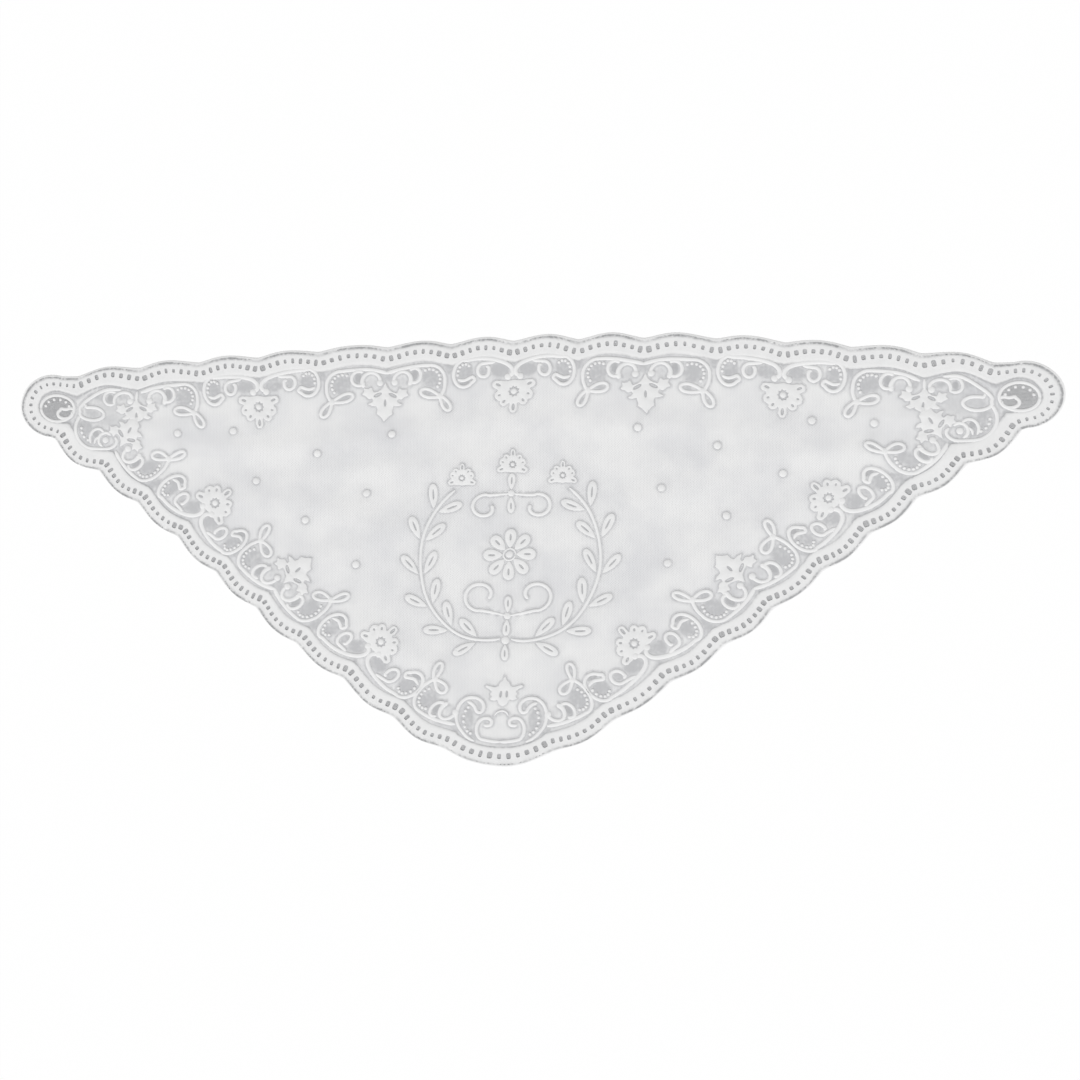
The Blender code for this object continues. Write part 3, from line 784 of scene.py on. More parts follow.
scallops = both(scallopFigures(cut["neckCusps"], cut["neckMotifs"], False).take(
    scallopFigures(cut["lowerCusps"], cut["lowerMotifs"], True)))
rightMotifs = hangingFigures(cut["neckCusps"], cut["neckMotifs"], hanging["neck"])
rightMotifs.take(hangingFigures(cut["lowerCusps"], cut["lowerMotifs"], hanging["lower"]))
for row in hanging["cornerLeaves"]:
    drawLeaf(rightMotifs, *row)
edgeMotifs = both(rightMotifs)
drawFlower(edgeMotifs, Vector(cut["neckCusps"][0]) - Vector((0.0, hanging["neck"]["flower"][0])), -90.0)


# The corner's large scrolls beside each tip, on the right half: one curls into an oval, one bows under it.
corner = {
    "scrolls": [
        ([(411.0, 167.6), (424.0, 167.6), (434.0, 164.0), (443.0, 158.6), (450.8, 153.2), (455.6, 147.6)],
         (442.4, 142.0), (13.3, 6.6), 12.0, -262.0, 0.0,
         [(443.8, 148.4), (448.0, 148.4), (449.4, 151.6)], 4.0),
        ([(455.6, 139.4)], (439.4, 126.4), (21.3, 20.2), 32.0, -108.0, 0.0,
         [(432.0, 106.0), (423.0, 106.2), (417.0, 109.4), (415.0, 113.8), (417.0, 117.6)], 3.8),
    ],
    # single cords, from end to end, and their width
    "cords": [
        ([(400.0, 154.6), (398.6, 159.6), (402.6, 163.6), (409.0, 164.6), (415.0, 162.2), (417.6, 157.4),
          (417.4, 152.4)], 3.6),
        ([(416.4, 164.4), (422.6, 165.6), (427.4, 162.8), (428.8, 157.8), (426.8, 153.6), (422.4, 151.8),
          (417.4, 152.6)], 3.2),
        ([(393.4, 165.0), (393.6, 160.0), (393.8, 155.0)], 3.2),
        ([(421.6, 120.0), (426.0, 122.8), (431.4, 121.6), (434.6, 117.6), (434.4, 112.4),
          (430.6, 108.6)], 3.4),
        ([(428.6, 122.6), (432.8, 126.4), (438.2, 126.4), (442.8, 122.6), (444.6, 117.2),
          (443.4, 111.6)], 3.2),
        ([(434.4, 119.0), (438.4, 116.0), (439.4, 111.4)], 2.6),
    ],
    "bulbs": [(400.2, 155.0), (427.4, 115.2)],
    "shades": [
        ((437.0, 160.0), (11.0, 4.6), 0.95), ((447.0, 152.0), (5.0, 4.0), 0.95),
        ((450.0, 126.0), (10.0, 12.0), 0.95), ((441.0, 115.0), (12.0, 7.0), 0.95),
        ((442.0, 142.0), (10.4, 4.4), 0.7), ((463.0, 146.0), (3.0, 11.0), 0.9),
        ((428.0, 146.0), (22.0, 20.0), 0.5), ((408.6, 159.2), (6.6, 4.2), 0.9),
        ((422.2, 158.4), (4.4, 5.4), 1.2), ((438.6, 121.4), (4.4, 5.0), 1.2),
        ((427.4, 115.6), (6.0, 6.0), 0.9),
    ],
    "picots": [((439.4, 126.0), (14.8, 12.8), 4.0, -60.0, 4)],
}
corners = both(placedFigures(corner))

# The medallion in the apex, on the right half, with a leaf above it.
apexMedallion = {
    "scrolls": [
        ([(26.0, -190.6), (33.5, -186.6)], (30.0, -166.0), (15.0, 18.8), -50.0, 140.0, 0.0,
         [(24.4, -148.0), (19.4, -151.4), (17.8, -156.8), (20.4, -161.6), (24.6, -160.8), (26.6, -156.8),
          (30.4, -153.2), (34.6, -151.8)], 3.4),
        ([(0.0, -191.7), (6.0, -191.5), (13.0, -190.2)], (15.0, -178.6), (9.2, 11.2), -62.0, 160.0, 0.0,
         [(11.2, -168.2), (9.0, -171.0), (10.0, -174.4), (13.6, -175.2), (16.6, -174.4)], None),
    ],
    "shades": [
        ((34.5, -168.0), (9.0, 15.0), 0.9), ((29.0, -183.0), (8.0, 6.0), 0.8),
        ((23.5, -154.6), (3.6, 4.6), 0.7), ((0.0, -163.5), (6.0, 3.0), 0.5),
        ((12.8, -170.8), (4.0, 2.8), 0.5), ((47.0, -177.0), (4.0, 5.0), 0.8),
    ],
    "picots": [((28.0, -169.0), (9.6, 14.0), 58.0, -78.0, 7)],
    # centre, reach, first angle, last angle, steps; and the cord's width
    "arch": ((0.4, -167.4), (7.2, 7.0), 165.0, 15.0, 10),
    "archWidth": 2.2,
    "palmette": ((0.8, -141.5), 90.0),
}
apex = both(placedFigures(apexMedallion))
apex.stroke(arcLine(*apexMedallion["arch"]), apexMedallion["archWidth"])
drawLeaf(apex, *apexMedallion["palmette"], palmette)

# The wreath in the middle of the shawl.
wreath = {
    "stemCentre": (20.0, -8.0),
    "stemReach": (70.0, 82.0),
    "stemArc": (-102.0, 58.0),
    "stemSteps": 60,
    "stemWidth": 3.1,
    "sprigAngles": [-82.0, -58.0, -34.0, -10.0, 14.0, 37.0],
    "sprigSpread": 36.0,
    "sprigRoot": 3.2,
    "spray": ((50.0, 74.0), 90.0, 0.66),
    "topFlower": ((0.0, 86.0), 90.0, 0.7),
    "scrolls": [
        ([(3.0, -65.0)], (27.0, -45.0), (17.0, 15.0), -95.0, 300.0, 0.55, [], 3.2),
        ([(3.0, 57.0)], (26.0, 44.0), (14.0, 12.0), 110.0, -300.0, 0.55, [], 3.2),
    ],
    "ties": [((0.0, -65.6), 3.4), ((0.0, 57.6), 3.4), ((0.0, -89.6), 4.0)],
    # where each leaf at a tie starts, and its heading
    "tieLeaves": [((0.0, -93.6), -90.0), ((0.0, -69.0), -90.0), ((0.0, -62.0), 90.0), ((0.0, 61.2), 90.0),
                  ((0.0, 54.0), -90.0)],
    "rosetteCentre": (0.0, -4.0),
    "rosettePetals": 8,
    "petalRoot": 6.76,
    "rosetteEye": 3.6,
    "rosetteRing": 6.0,
    "rosetteRingSteps": 16,
    "rosetteRingWidth": 1.8,
    # length, width, how far along its slit lies, the slit's length and width, reach of the painted shade in
    # the slit
    "sprigLeaf": (25.0, 10.5, 14.0, 11.0, 1.7, 5.0),
    "tieLeaf": (16.0, 8.4, 8.96, 7.0, 1.6, 4.5),
    "petal": (19.24, 13.0, 10.92, 7.0, 2.0, 4.5),
}


def drawSlitLeaf(figures, root, heading, shape):
    # a drop with a slit along its middle
    length, width, slitPlace, slitLength, slitWidth, shadeReach = shape
    root = Vector(root)
    middle = root + ahead(heading) * slitPlace
    outline = dropLine(root, length, width, heading)
    figures.pads.append((outline, [slitLoop(middle, slitLength, slitWidth, heading)]))
    figures.shade(middle, (shadeReach, shadeReach), 1.0)


def drawSprigs(figures):
    for turn in wreath["sprigAngles"]:
        root = arcPoint(wreath["stemCentre"], wreath["stemReach"], turn)
        way = arcPoint(wreath["stemCentre"], wreath["stemReach"], turn + 1.0) - root
        for side in (-1, 1):
            start = root + way.orthogonal().normalized() * side * wreath["sprigRoot"]
            drawSlitLeaf(figures, start, headingOf(way) + side * wreath["sprigSpread"], wreath["sprigLeaf"])


def drawRosette(figures):
    centre, petals = wreath["rosetteCentre"], wreath["rosettePetals"]
    for n in range(petals):
        angle = 90 + 360 * n / petals
        drawSlitLeaf(figures, arcPoint(centre, (wreath["petalRoot"],) * 2, angle), angle, wreath["petal"])
    figures.knots.append((Vector(centre), wreath["rosetteEye"]))
    ring = ovalLine(centre, (wreath["rosetteRing"],) * 2, wreath["rosetteRingSteps"])
    figures.stroke(ring, wreath["rosetteRingWidth"], closed=True)


wreathRight = placedFigures(wreath)
stem = arcLine(wreath["stemCentre"], wreath["stemReach"], *wreath["stemArc"], wreath["stemSteps"])
wreathRight.stroke(stem, wreath["stemWidth"])
drawSprigs(wreathRight)
drawFlower(wreathRight, *wreath["spray"])
middleWreath = both(wreathRight)
drawFlower(middleWreath, *wreath["topFlower"])
drawRosette(middleWreath)
middleWreath.knots += [(Vector(place), radius) for place, radius in wreath["ties"]]
for root, heading in wreath["tieLeaves"]:
    drawSlitLeaf(middleWreath, root, heading, wreath["tieLeaf"])

groundDots = {
    "radius": 3.7,
    "points": [(122.6, 119.2), (200.0, 101.2), (289.2, 124.2), (347.8, 121.7),
               (147.5, 59.7), (263.0, 73.2), (210.8, 32.2), (156.0, -13.3)],
}
dots = Figures()
dots.knots = [(Vector(point), groundDots["radius"]) for point in groundDots["points"]]
dots = both(dots)

# The oval eyelet in each tip: a corded ring, a hook that curls in from its inner side, thin cross threads
# coloured grey as painted shade.
eyelet = {
    "centre": (481.0, 147.9),
    "opening": (17.2, 12.1),
    "steps": 44,
    "ringWidth": 3.4,
    "ringOutside": 0.45,  # the share of the ring's width from the opening's rim to the ring's middle
    "ringSteps": 48,
    "scrolls": [([(462.8, 146.4), (466.4, 147.8), (471.6, 146.8), (476.6, 147.8)], (472.6, 142.4), (8.2, 5.2),
                 50.0, -236.0, 0.0, [(463.8, 142.6)], None)],
    "picots": [((481.0, 148.2), (13.4, 9.2), 168.0, 12.0, 6)],
    "threadPitch": 1.0,
    "crossPitch": 1.3,
    "threadWidth": 0.6,
    "threadHeights": (0.5, 0.85),
    "threadPast": 1.0,  # the threads run this far under the ring
    "threadSteps": 6,
    "shortest": 1.5,
}


def crossThreads():
    # straight threads from side to side of the opening, cut to its oval
    wide, tall = (size + eyelet["threadPast"] for size in eyelet["opening"])
    steps = eyelet["threadSteps"]
    lines = []
    for pitch, span, half, along in ((eyelet["threadPitch"], wide, tall, Vector((0.0, 1.0))),
                                     (eyelet["crossPitch"], tall, wide, Vector((1.0, 0.0)))):
        for n in range(-int(span / pitch), int(span / pitch) + 1):
            chord = half * math.sqrt(max(1 - (n * pitch / span) ** 2, 0.0))
            if chord > eyelet["shortest"]:
                offset = Vector(eyelet["centre"]) - along.orthogonal() * n * pitch
                lines.append([offset + along * chord * k / steps for k in range(-steps, steps + 1)])
    return lines + [mirrored(line) for line in lines]


eyeletRight = placedFigures(eyelet)
ringReach = [size + eyelet["ringWidth"] * eyelet["ringOutside"] for size in eyelet["opening"]]
eyeletRing = ovalLine(eyelet["centre"], ringReach, eyelet["ringSteps"])
eyeletRight.stroke(eyeletRing, eyelet["ringWidth"], closed=True)
eyelets = both(eyeletRight)
print("figures drawn")


class Strand:
    # a number that varies over a finish; sums and products add their own Math nodes

    def __init__(self, finish, socket):
        self.finish = finish
        self.socket = socket

    def output(self, index):
        return Strand(self.finish, self.socket.node.outputs[index])

    def worked(self, operation, *values, clamp=False):
        settings = {"operation": operation, "use_clamp": clamp}
        return self.finish.node("ShaderNodeMath", settings, dict(enumerate(values)))

    def __add__(self, other):
        return self.worked("ADD", self, other)

    __radd__ = __add__

    def __sub__(self, other):
        return self.worked("SUBTRACT", self, other)

    def __rsub__(self, other):
        return self.worked("SUBTRACT", other, self)

    def __mul__(self, other):
        return self.worked("MULTIPLY", self, other)

    __rmul__ = __mul__

    def held(self):
        return self.worked("ADD", self, 0.0, clamp=True)

    def cosine(self):
        return self.worked("COSINE", self)

    def sine(self):
        return self.worked("SINE", self)


class Finish:
    # one material, its nodes laid by short calls

    def __init__(self, name, roughness, sheen, sheenRoughness=0.6, shine=0.2):
        self.material = bpy.data.materials.new(name)
        self.material.use_nodes = True
        self.tree = self.material.node_tree
        self.shader = self.tree.nodes["Principled BSDF"]
        self.put({"Roughness": roughness, "Sheen Weight": sheen})
        self.put({"Sheen Roughness": sheenRoughness, "Specular IOR Level": shine})

    def put(self, sockets, node=None):
        for name, value in sockets.items():
            socket = (node or self.shader).inputs[name]
            if isinstance(value, Strand):
                self.tree.links.new(value.socket, socket)
            else:
                socket.default_value = value

    def node(self, kind, settings=None, sockets=None, out=0):
        made = self.tree.nodes.new(kind)
        for name, value in (settings or {}).items():
            setattr(made, name, value)
        self.put(sockets or {}, made)
        return Strand(self, made.outputs[out])

    def millimetres(self):
        # the piece's own place, and its across and up in millimetres
        place = self.node("ShaderNodeTexCoord", out=3)
        x = self.node("ShaderNodeSeparateXYZ", None, {0: place})
        return place, x * 1000.0, x.output(1) * 1000.0

    def value(self, name, out=2):
        return self.node("ShaderNodeAttribute", {"attribute_name": name}, out=out)

    def noise(self, place, scale, detail=2.0):
        return self.node("ShaderNodeTexNoise", None, {"Vector": place, "Scale": scale, "Detail": detail})

    def mixed(self, share, first, second):
        colours = [(*colour, 1.0) if isinstance(colour, tuple) else colour for colour in (first, second)]
        settings = {"data_type": "RGBA", "clamp_factor": True}
        return self.node("ShaderNodeMix", settings, {0: share, 6: colours[0], 7: colours[1]}, out=2)

    def raised(self, height, distance):
        bump = self.node("ShaderNodeBump", None, {"Strength": 1.0, "Distance": distance, "Height": height})
        self.put({"Normal": bump})


def hexMesh(x, y, pitch):
    # from -1.5 between the cells to 3 in the middle of each cell of a six-sided mesh
    turn = 2 * math.pi / (pitch * math.sqrt(3) / 2)
    half, slant = x * 0.5, y * 0.866  # across and up, turned by 60 degrees
    return (x * turn).cosine() + ((half + slant) * turn).cosine() + ((half - slant) * turn).cosine()


netLook = {
    "white": (0.84, 0.84, 0.84),
    "cloud": (0.745, 0.748, 0.762),
    "paintedShadeGrey": (0.555, 0.558, 0.57),  # painted shade, where the openShade value is 1
    "holeShadeGrey": (0.24, 0.243, 0.25),   # darker painted shade in the figures' holes, where it is 2
    "pitch": 1.6,
    "wanderScale": 120.0,
    "wander": 1.8,
    "holeStart": 0.8,  # where a cell's hole begins in the mesh field
    "holeGain": 1.2,
    "holeDepth": 0.28,
    "cloudScale": 15.0,
    "cloudStart": 0.38,
    "cloudGain": 3.2,
    "mottleScale": 75.0,
    "mottle": 0.7,
    "openMottle": 1.1,
    "grainScale": 330.0,
    "openGrain": 1.4,
    "meshRise": 0.2,
    "bump": 0.00007,
    "roughness": 0.85,
    "sheen": 0.15,
}


def netFinish():
    look = netLook
    finish = Finish("whiteNet", look["roughness"], look["sheen"])
    place, x, y = finish.millimetres()
    wander = finish.noise(place, look["wanderScale"]) * look["wander"]
    openShade = finish.value("openShade")
    cells = hexMesh(x + wander, y - wander, look["pitch"])
    holes = ((cells - look["holeStart"]) * look["holeGain"]).held()
    clouds = ((finish.noise(place, look["cloudScale"], 3.0) - look["cloudStart"]) * look["cloudGain"]).held()
    mottle = finish.noise(place, look["mottleScale"], 3.0) - 0.5
    grain = finish.noise(place, look["grainScale"]) - 0.5
    tone = finish.mixed(clouds + mottle * look["mottle"], look["white"], look["cloud"])
    # painted shade: the net turns grey where the openShade value is high, and darker still in the figures'
    # holes
    mottledShade = openShade * (mottle * look["openMottle"] + grain * look["openGrain"] + 1.0)
    tone = finish.mixed(mottledShade, tone, look["paintedShadeGrey"])
    finish.put({
        "Base Color": finish.mixed(openShade - 1.0, tone, look["holeShadeGrey"]),
        "Alpha": 1 - holes * look["holeDepth"],
    })
    finish.raised(1 - cells * look["meshRise"], look["bump"])
    return finish.material


denseLook = {
    # light and darker tone: the darker one shows at random in patches, and as painted shade in the pinholes
    "borderTones": ((0.86, 0.86, 0.86), (0.79, 0.792, 0.798)),
    "padTones": ((0.845, 0.845, 0.845), (0.775, 0.777, 0.782)),
    "paintedShadeGrey": (0.4, 0.403, 0.41),
    "rimPaintedLight": (0.96, 0.96, 0.96),  # painted light on the outer rim, where the openShade value is -1
    "pitch": 0.95,
    "holeStart": 1.6,
    "holeGain": 0.7,
    "holeShade": 0.5,
    "patchScale": 70.0,
    "patchStart": 0.4,
    "patchGain": 1.3,
    "grainScale": 420.0,
    "openBase": -0.5,
    "openGrain": 3.0,
    "openPatch": 2.4,
    "ribScale": 260.0,
    "ribRise": 0.5,
    "meshRise": 0.25,
    "bump": 0.00015,
    "roughness": 0.8,
    "sheen": 0.2,
}


def denseFinish(name, white, shade, openLineShade=False):
    # close knitted lace: tiny pinholes in rows painted darker as shade, an uneven tone and, if asked for, the
    # lines of open stitches painted grey as shade, with painted light on the outer rim
    look = denseLook
    finish = Finish(name, look["roughness"], look["sheen"])
    place, x, y = finish.millimetres()
    cells = hexMesh(x, y, look["pitch"])
    patches = finish.noise(place, look["patchScale"], 3.0)
    pinholes = ((cells - look["holeStart"]) * look["holeGain"]).held()
    uneven = ((patches - look["patchStart"]) * look["patchGain"]).held()
    colour = finish.mixed(uneven + pinholes * look["holeShade"], white, shade)
    if openLineShade:
        grain = finish.noise(place, look["grainScale"]) * look["openGrain"] + look["openBase"]
        grain = grain + (patches - 0.5) * look["openPatch"]
        openShade = finish.value("openShade")
        # painted shade along the lines of open stitches, and painted light on the outer rim where the value
        # is below zero
        colour = finish.mixed(openShade * grain, colour, look["paintedShadeGrey"])
        colour = finish.mixed(openShade * -1.0, colour, look["rimPaintedLight"])
    finish.put({"Base Color": colour})
    ribs = finish.noise(place, look["ribScale"]) * look["ribRise"]
    finish.raised(ribs - cells * look["meshRise"], look["bump"])
    return finish.material


threadLook = {
    # light and darker tone: the darker one shows at random, and as painted shade between the plies
    "cordTones": ((0.85, 0.85, 0.85), (0.775, 0.777, 0.782)),
    # grey thread: painted shade
    "paintedShadeTones": ((0.58, 0.583, 0.592), (0.49, 0.493, 0.502)),
    "plyTurns": 5.2,  # radians of a ply for each millimetre along a cord
    "plySlant": 0.8,
    "plyShade": 0.12,
    "plyRise": 0.5,
    "toneScale": 90.0,
    "toneStart": 0.3,
    "toneGain": 0.9,
    "fuzzScale": 700.0,
    "fuzzRise": 0.4,
    "bump": 0.00012,
    "roughness": 0.7,
    "sheen": 0.25,
}


def cordFinish(name, white, shade):
    # twisted thread: slanting plies that follow each cord's own run
    look = threadLook
    finish = Finish(name, look["roughness"], look["sheen"])
    run = finish.node("ShaderNodeSeparateXYZ", None, {0: finish.value("threadRun", out=1)})
    place = finish.node("ShaderNodeTexCoord", out=3)
    plies = ((run + run.output(1) * look["plySlant"]) * look["plyTurns"]).sine()
    tone = (finish.noise(place, look["toneScale"]) - look["toneStart"]) * look["toneGain"]
    finish.put({"Base Color": finish.mixed(tone - plies * look["plyShade"], white, shade)})
    fuzz = finish.noise(place, look["fuzzScale"]) * look["fuzzRise"]
    finish.raised(plies * look["plyRise"] + fuzz, look["bump"])
    return finish.material


net = netFinish()
closeLace = denseFinish("closeLace", *denseLook["borderTones"], openLineShade=True)
padThread = denseFinish("padStitch", *denseLook["padTones"])
cordThread = cordFinish("cordThread", *threadLook["cordTones"])
# grey thread for the slot threads, the eyelet threads and the walls of the border's openings: painted shade
shadeGreyThread = cordFinish("paintedShadeThread", *threadLook["paintedShadeTones"])
print("finishes made")

# The border: close lace with a row of slots, a soft line of open stitches and a few small gaps along its rim.
# The line of open stitches and the walls of the slots and gaps are painted grey as shade; the outer rim is
# painted lighter.
border = {
    "low": 0.1,
    "tuck": 0.85,  # underside where it lies over the net's edge
    "tuckFrom": 17.8,
    "tuckTo": 19.4,
    "rimSlope": 0.25,
    # inset, height of the upper side
    "profile": [(0.0, 0.3), (0.6, 0.8), (1.6, 1.1), (2.3, 1.05), (3.0, 1.0), (3.8, 1.1), (4.8, 1.3),
                (6.2, 1.35), (16.0, 1.35), (17.6, 1.45), (19.2, 1.4), (20.3, 1.2), (21.0, 1.1)],
    # inset, how open the stitches are there, painted as shade; below zero it is painted light on the outer
    # rim
    "openShade": [(0.0, -1.0), (0.6, -0.9), (1.6, 0.2), (2.3, 0.9), (3.0, 1.0), (3.8, 0.8), (4.8, 0.3),
                 (6.2, 0.0), (19.2, 0.0), (20.3, 0.35), (21.0, 0.6)],
    "outerLine": 6.2,  # the outer line of open stitches ends here
    "lineAtCusp": 0.35,
    "lineAtApex": 0.4,
    "innerAtCrown": 0.3,
    "seams": [0.6, 1.6, 4.8, 6.2, 16.0, 17.6, 19.2, 20.3],
    "brokenSeams": [2.3, 3.0, 3.8],  # these stop at each small gap
    "underSeams": [17.8, 19.4],
    "slotInset": 11.6,
    "slotSize": (3.4, 4.8),
    "slotSwell": 1.4,  # added at a cusp, and these shares of it round a tip and at the apex
    "tipSwell": -0.5,
    "apexSwell": 0.8,
    "slotSlope": 0.45,
    "slotUneven": 0.2,
    "slotWander": 0.3,
    "threadWidth": 0.6,
    "threadHeights": (0.25, 0.6),
    "threadPitches": (0.8, 0.9),
    "threadReach": 0.46,
    "picotInset": 2.9,
    "picotSize": (2.0, 0.9),
    "picotUneven": (0.5, 1.1),
    "picotWander": 0.4,
    "picotSkipped": 0.5,
    "picotShare": (0.12, 0.88),  # the small gaps fade out at the cusps
    "picotCorners": (0.8, 8),
    "picotSlope": (0.8, 0.7),
    # in a scallop, round a tip, at the apex
    "slotCounts": (8, 15, 11),
    "picotCounts": (16, 28, 28),
    "lineCounts": (24, 40, 40),
}


def squarishLoop(place, direction, width, length, squareness=0.55, corners=12):
    # a rounded four-sided opening
    loop = []
    for n in range(corners):
        angle = 2 * math.pi * (n + 0.5) / corners
        c, s = math.cos(angle), math.sin(angle)
        along = math.copysign(abs(c) ** squareness, c) * width / 2
        across = math.copysign(abs(s) ** squareness, s) * length / 2
        loop.append(place + direction * along + direction.orthogonal() * across)
    return loop


def walk(inset, counts):
    # evenly spaced stations round the edge: place, direction, share of the lobe, lobe kind (0, 1 tip, 2 apex)
    lines = edgeLines(inset)
    tip = len(cut["neckCusps"]) - 1
    kinds = {tip: 1, len(lines) - 1 - tip: 1, len(lines) // 2: 2}
    for index, line in enumerate(lines):
        kind = kinds.get(index, 0)
        count = counts[kind]
        points = resampled(line, 2 * count)
        for n in range(count):
            direction = (points[2 * n + 2] - points[2 * n]).normalized()
            yield points[2 * n + 1], direction, (n + 0.5) / count, kind


def borderOpenings():
    # each opening's upper and lower loop; and the place, direction and size of each slot
    rough = random.Random(11)
    openings, slots = [], []
    for place, direction, share, kind in walk(border["slotInset"], border["slotCounts"]):
        atCusp = 0.5 + 0.5 * math.cos(2 * math.pi * share)
        swell = border["slotSwell"] * (atCusp ** 2, border["tipSwell"], border["apexSwell"])[kind]
        width, length = ((size + swell) * (1 + rough.uniform(-1, 1) * border["slotUneven"])
                         for size in border["slotSize"])
        place = place + direction.orthogonal() * rough.uniform(-1, 1) * border["slotWander"]
        low = (size - 2 * border["slotSlope"] for size in (width, length))
        openings.append((squarishLoop(place, direction, width, length), squarishLoop(place, direction, *low)))
        slots.append((place, direction, width, length))
    first, last = border["picotShare"]
    for place, direction, share, kind in walk(border["picotInset"], border["picotCounts"]):
        if rough.random() < border["picotSkipped"] or kind == 0 and not first < share < last:
            continue
        sizes = [size * rough.uniform(*border["picotUneven"]) for size in border["picotSize"]]
        lowSizes = [size * slope for size, slope in zip(sizes, border["picotSlope"])]
        place = place + direction.orthogonal() * rough.uniform(-1, 1) * border["picotWander"]
        openings.append([squarishLoop(place, direction, *pair, *border["picotCorners"])
                         for pair in (sizes, lowSizes)])
    return openings, slots


def makeTree(points):
    tree = KDTree(len(points))
    for n, point in enumerate(points):
        tree.insert((point[0], point[1], 0.0), n)
    tree.balance()
    return tree


def nearest(tree, point):
    # the number and the distance of the nearest point
    return tree.find((point[0], point[1], 0.0))[1:]


def insetFinder(spacing=0.5, neighbours=3, soft=0.05):
    # how far in a point of the border lies, from fine lines drawn at this spacing
    insets = np.arange(0.0, cut["bandWidth"] + spacing / 2, spacing)
    loops = [edgeLoop(inset) for inset in insets]
    tree = makeTree([point for loop in loops for point in loop])

    def insetOf(spots):
        found = []
        for spot in spots:
            near = tree.find_n((spot[0], spot[1], 0.0), neighbours)
            weights = [1 / (distance + soft) for _, _, distance in near]
            values = [insets[number // len(loops[0])] for _, number, _ in near]
            found.append(np.average(values, weights=weights))
        return np.array(found)

    return insetOf


def brokenLines(loop, gaps, clear=0.5, fineness=3):
    # the runs of a loop that keep clear of the gaps' own points
    tree = makeTree([point for gap in gaps for point in gap])
    middles = makeTree([sum(gap, Vector((0.0, 0.0))) / len(gap) for gap in gaps])
    runs = [[]]
    for point in resampled(ringed(loop), len(loop) * fineness)[:-1]:
        if nearest(tree, point)[1] < clear or nearest(middles, point)[1] < clear * 2:
            runs.append([])
        else:
            runs[-1].append(point)
    return [run for run in runs if run]


def lineStrength(spots, inset, atCusp, atCrown, atTip, atApex):
    # how strong the painted shade of a line of open stitches is along the border
    places, strengths = [], []
    for place, _, share, kind in walk(inset, border["lineCounts"]):
        crown = math.sin(math.pi * share)
        places.append(place)
        strengths.append((atCusp + (atCrown - atCusp) * crown, atTip, atApex)[kind])
    tree = makeTree(places)
    return np.array([strengths[nearest(tree, spot)[0]] for spot in spots])


def makeBorder():
    openings, slots = borderOpenings()
    outer, inner = edgeLoop(0.0), edgeLoop(cut["bandWidth"])
    loops = [outer, inner] + [top for top, low in openings]
    lowLoops = [offsetLoop(outer, -border["rimSlope"]), inner] + [low for top, low in openings]
    seams = [ringed(edgeLoop(inset)) for inset in border["seams"]]
    gaps = [top for top, low in openings[len(slots):]]
    for inset in border["brokenSeams"]:
        seams += brokenLines(edgeLoop(inset), gaps)
    under = [ringed(edgeLoop(inset)) for inset in border["underSeams"]]
    insetOf = insetFinder()
    tuck = ([border["tuckFrom"], border["tuckTo"]], [border["low"], border["tuck"]])
    top = (loops, seams, [], lambda spots: np.interp(insetOf(spots), *zip(*border["profile"])))
    bottom = (lowLoops, under, [], lambda spots: np.interp(insetOf(spots), *tuck))
    points, faces, wallOf = closedPanel((top, bottom), loops)
    spots = np.array(points)[:, :2]
    insets = insetOf(spots)
    openShade = np.interp(insets, *zip(*border["openShade"]))
    atCusp, atApex = border["lineAtCusp"], border["lineAtApex"]
    outerLine = lineStrength(spots, border["picotInset"], atCusp, 1.0, 1.0, atApex)
    innerLine = lineStrength(spots, cut["bandWidth"], 1.0, border["innerAtCrown"], 1.0, 1.0)
    openShade *= np.where(insets < border["outerLine"], outerLine, innerLine)
    # the walls of the slots and small gaps take the grey thread, as painted shade inside them
    piece = makePiece("borderLace", points, faces, [closeLace, shadeGreyThread],
                      faceFinish=[int(number > 1) for number in wallOf], pointValues={"openShade": openShade})
    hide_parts("border_band")
    area = abs(signedArea(outer)) - abs(signedArea(inner)) - sum(abs(signedArea(loop)) for loop in loops[2:])
    run = sum(stepLengths(ringed(edgeLoop(cut["bandWidth"] / 2))))
    return piece, slots, (cut["bandWidth"] * mm, run * mm), area * mm * mm


def slotThreads(slots):
    # thin threads that cross each slot, grey as painted shade in the slot
    threads = Stitching()
    alongPitch, acrossPitch = border["threadPitches"]
    reachShare = border["threadReach"]
    for place, direction, wide, long in slots:
        for way, span, reach, pitch in ((direction.orthogonal(), wide, long, alongPitch),
                                        (direction, long, wide, acrossPitch)):
            count = max(1, round(span / pitch) - 1)
            for n in range(count):
                offset = place - way.orthogonal() * (n + 1 - (count + 1) / 2) * span / (count + 1)
                line = [offset + way * reach * share for share in (-reachShare, 0.0, reachShare)]
                addCord(threads, line, [border["threadWidth"]] * 3, *border["threadHeights"])
    return threads.make("slotThreads", shadeGreyThread, "dense_lace")


borderPiece, slots, borderFlat, borderArea = makeBorder()
slotThreads(slots)

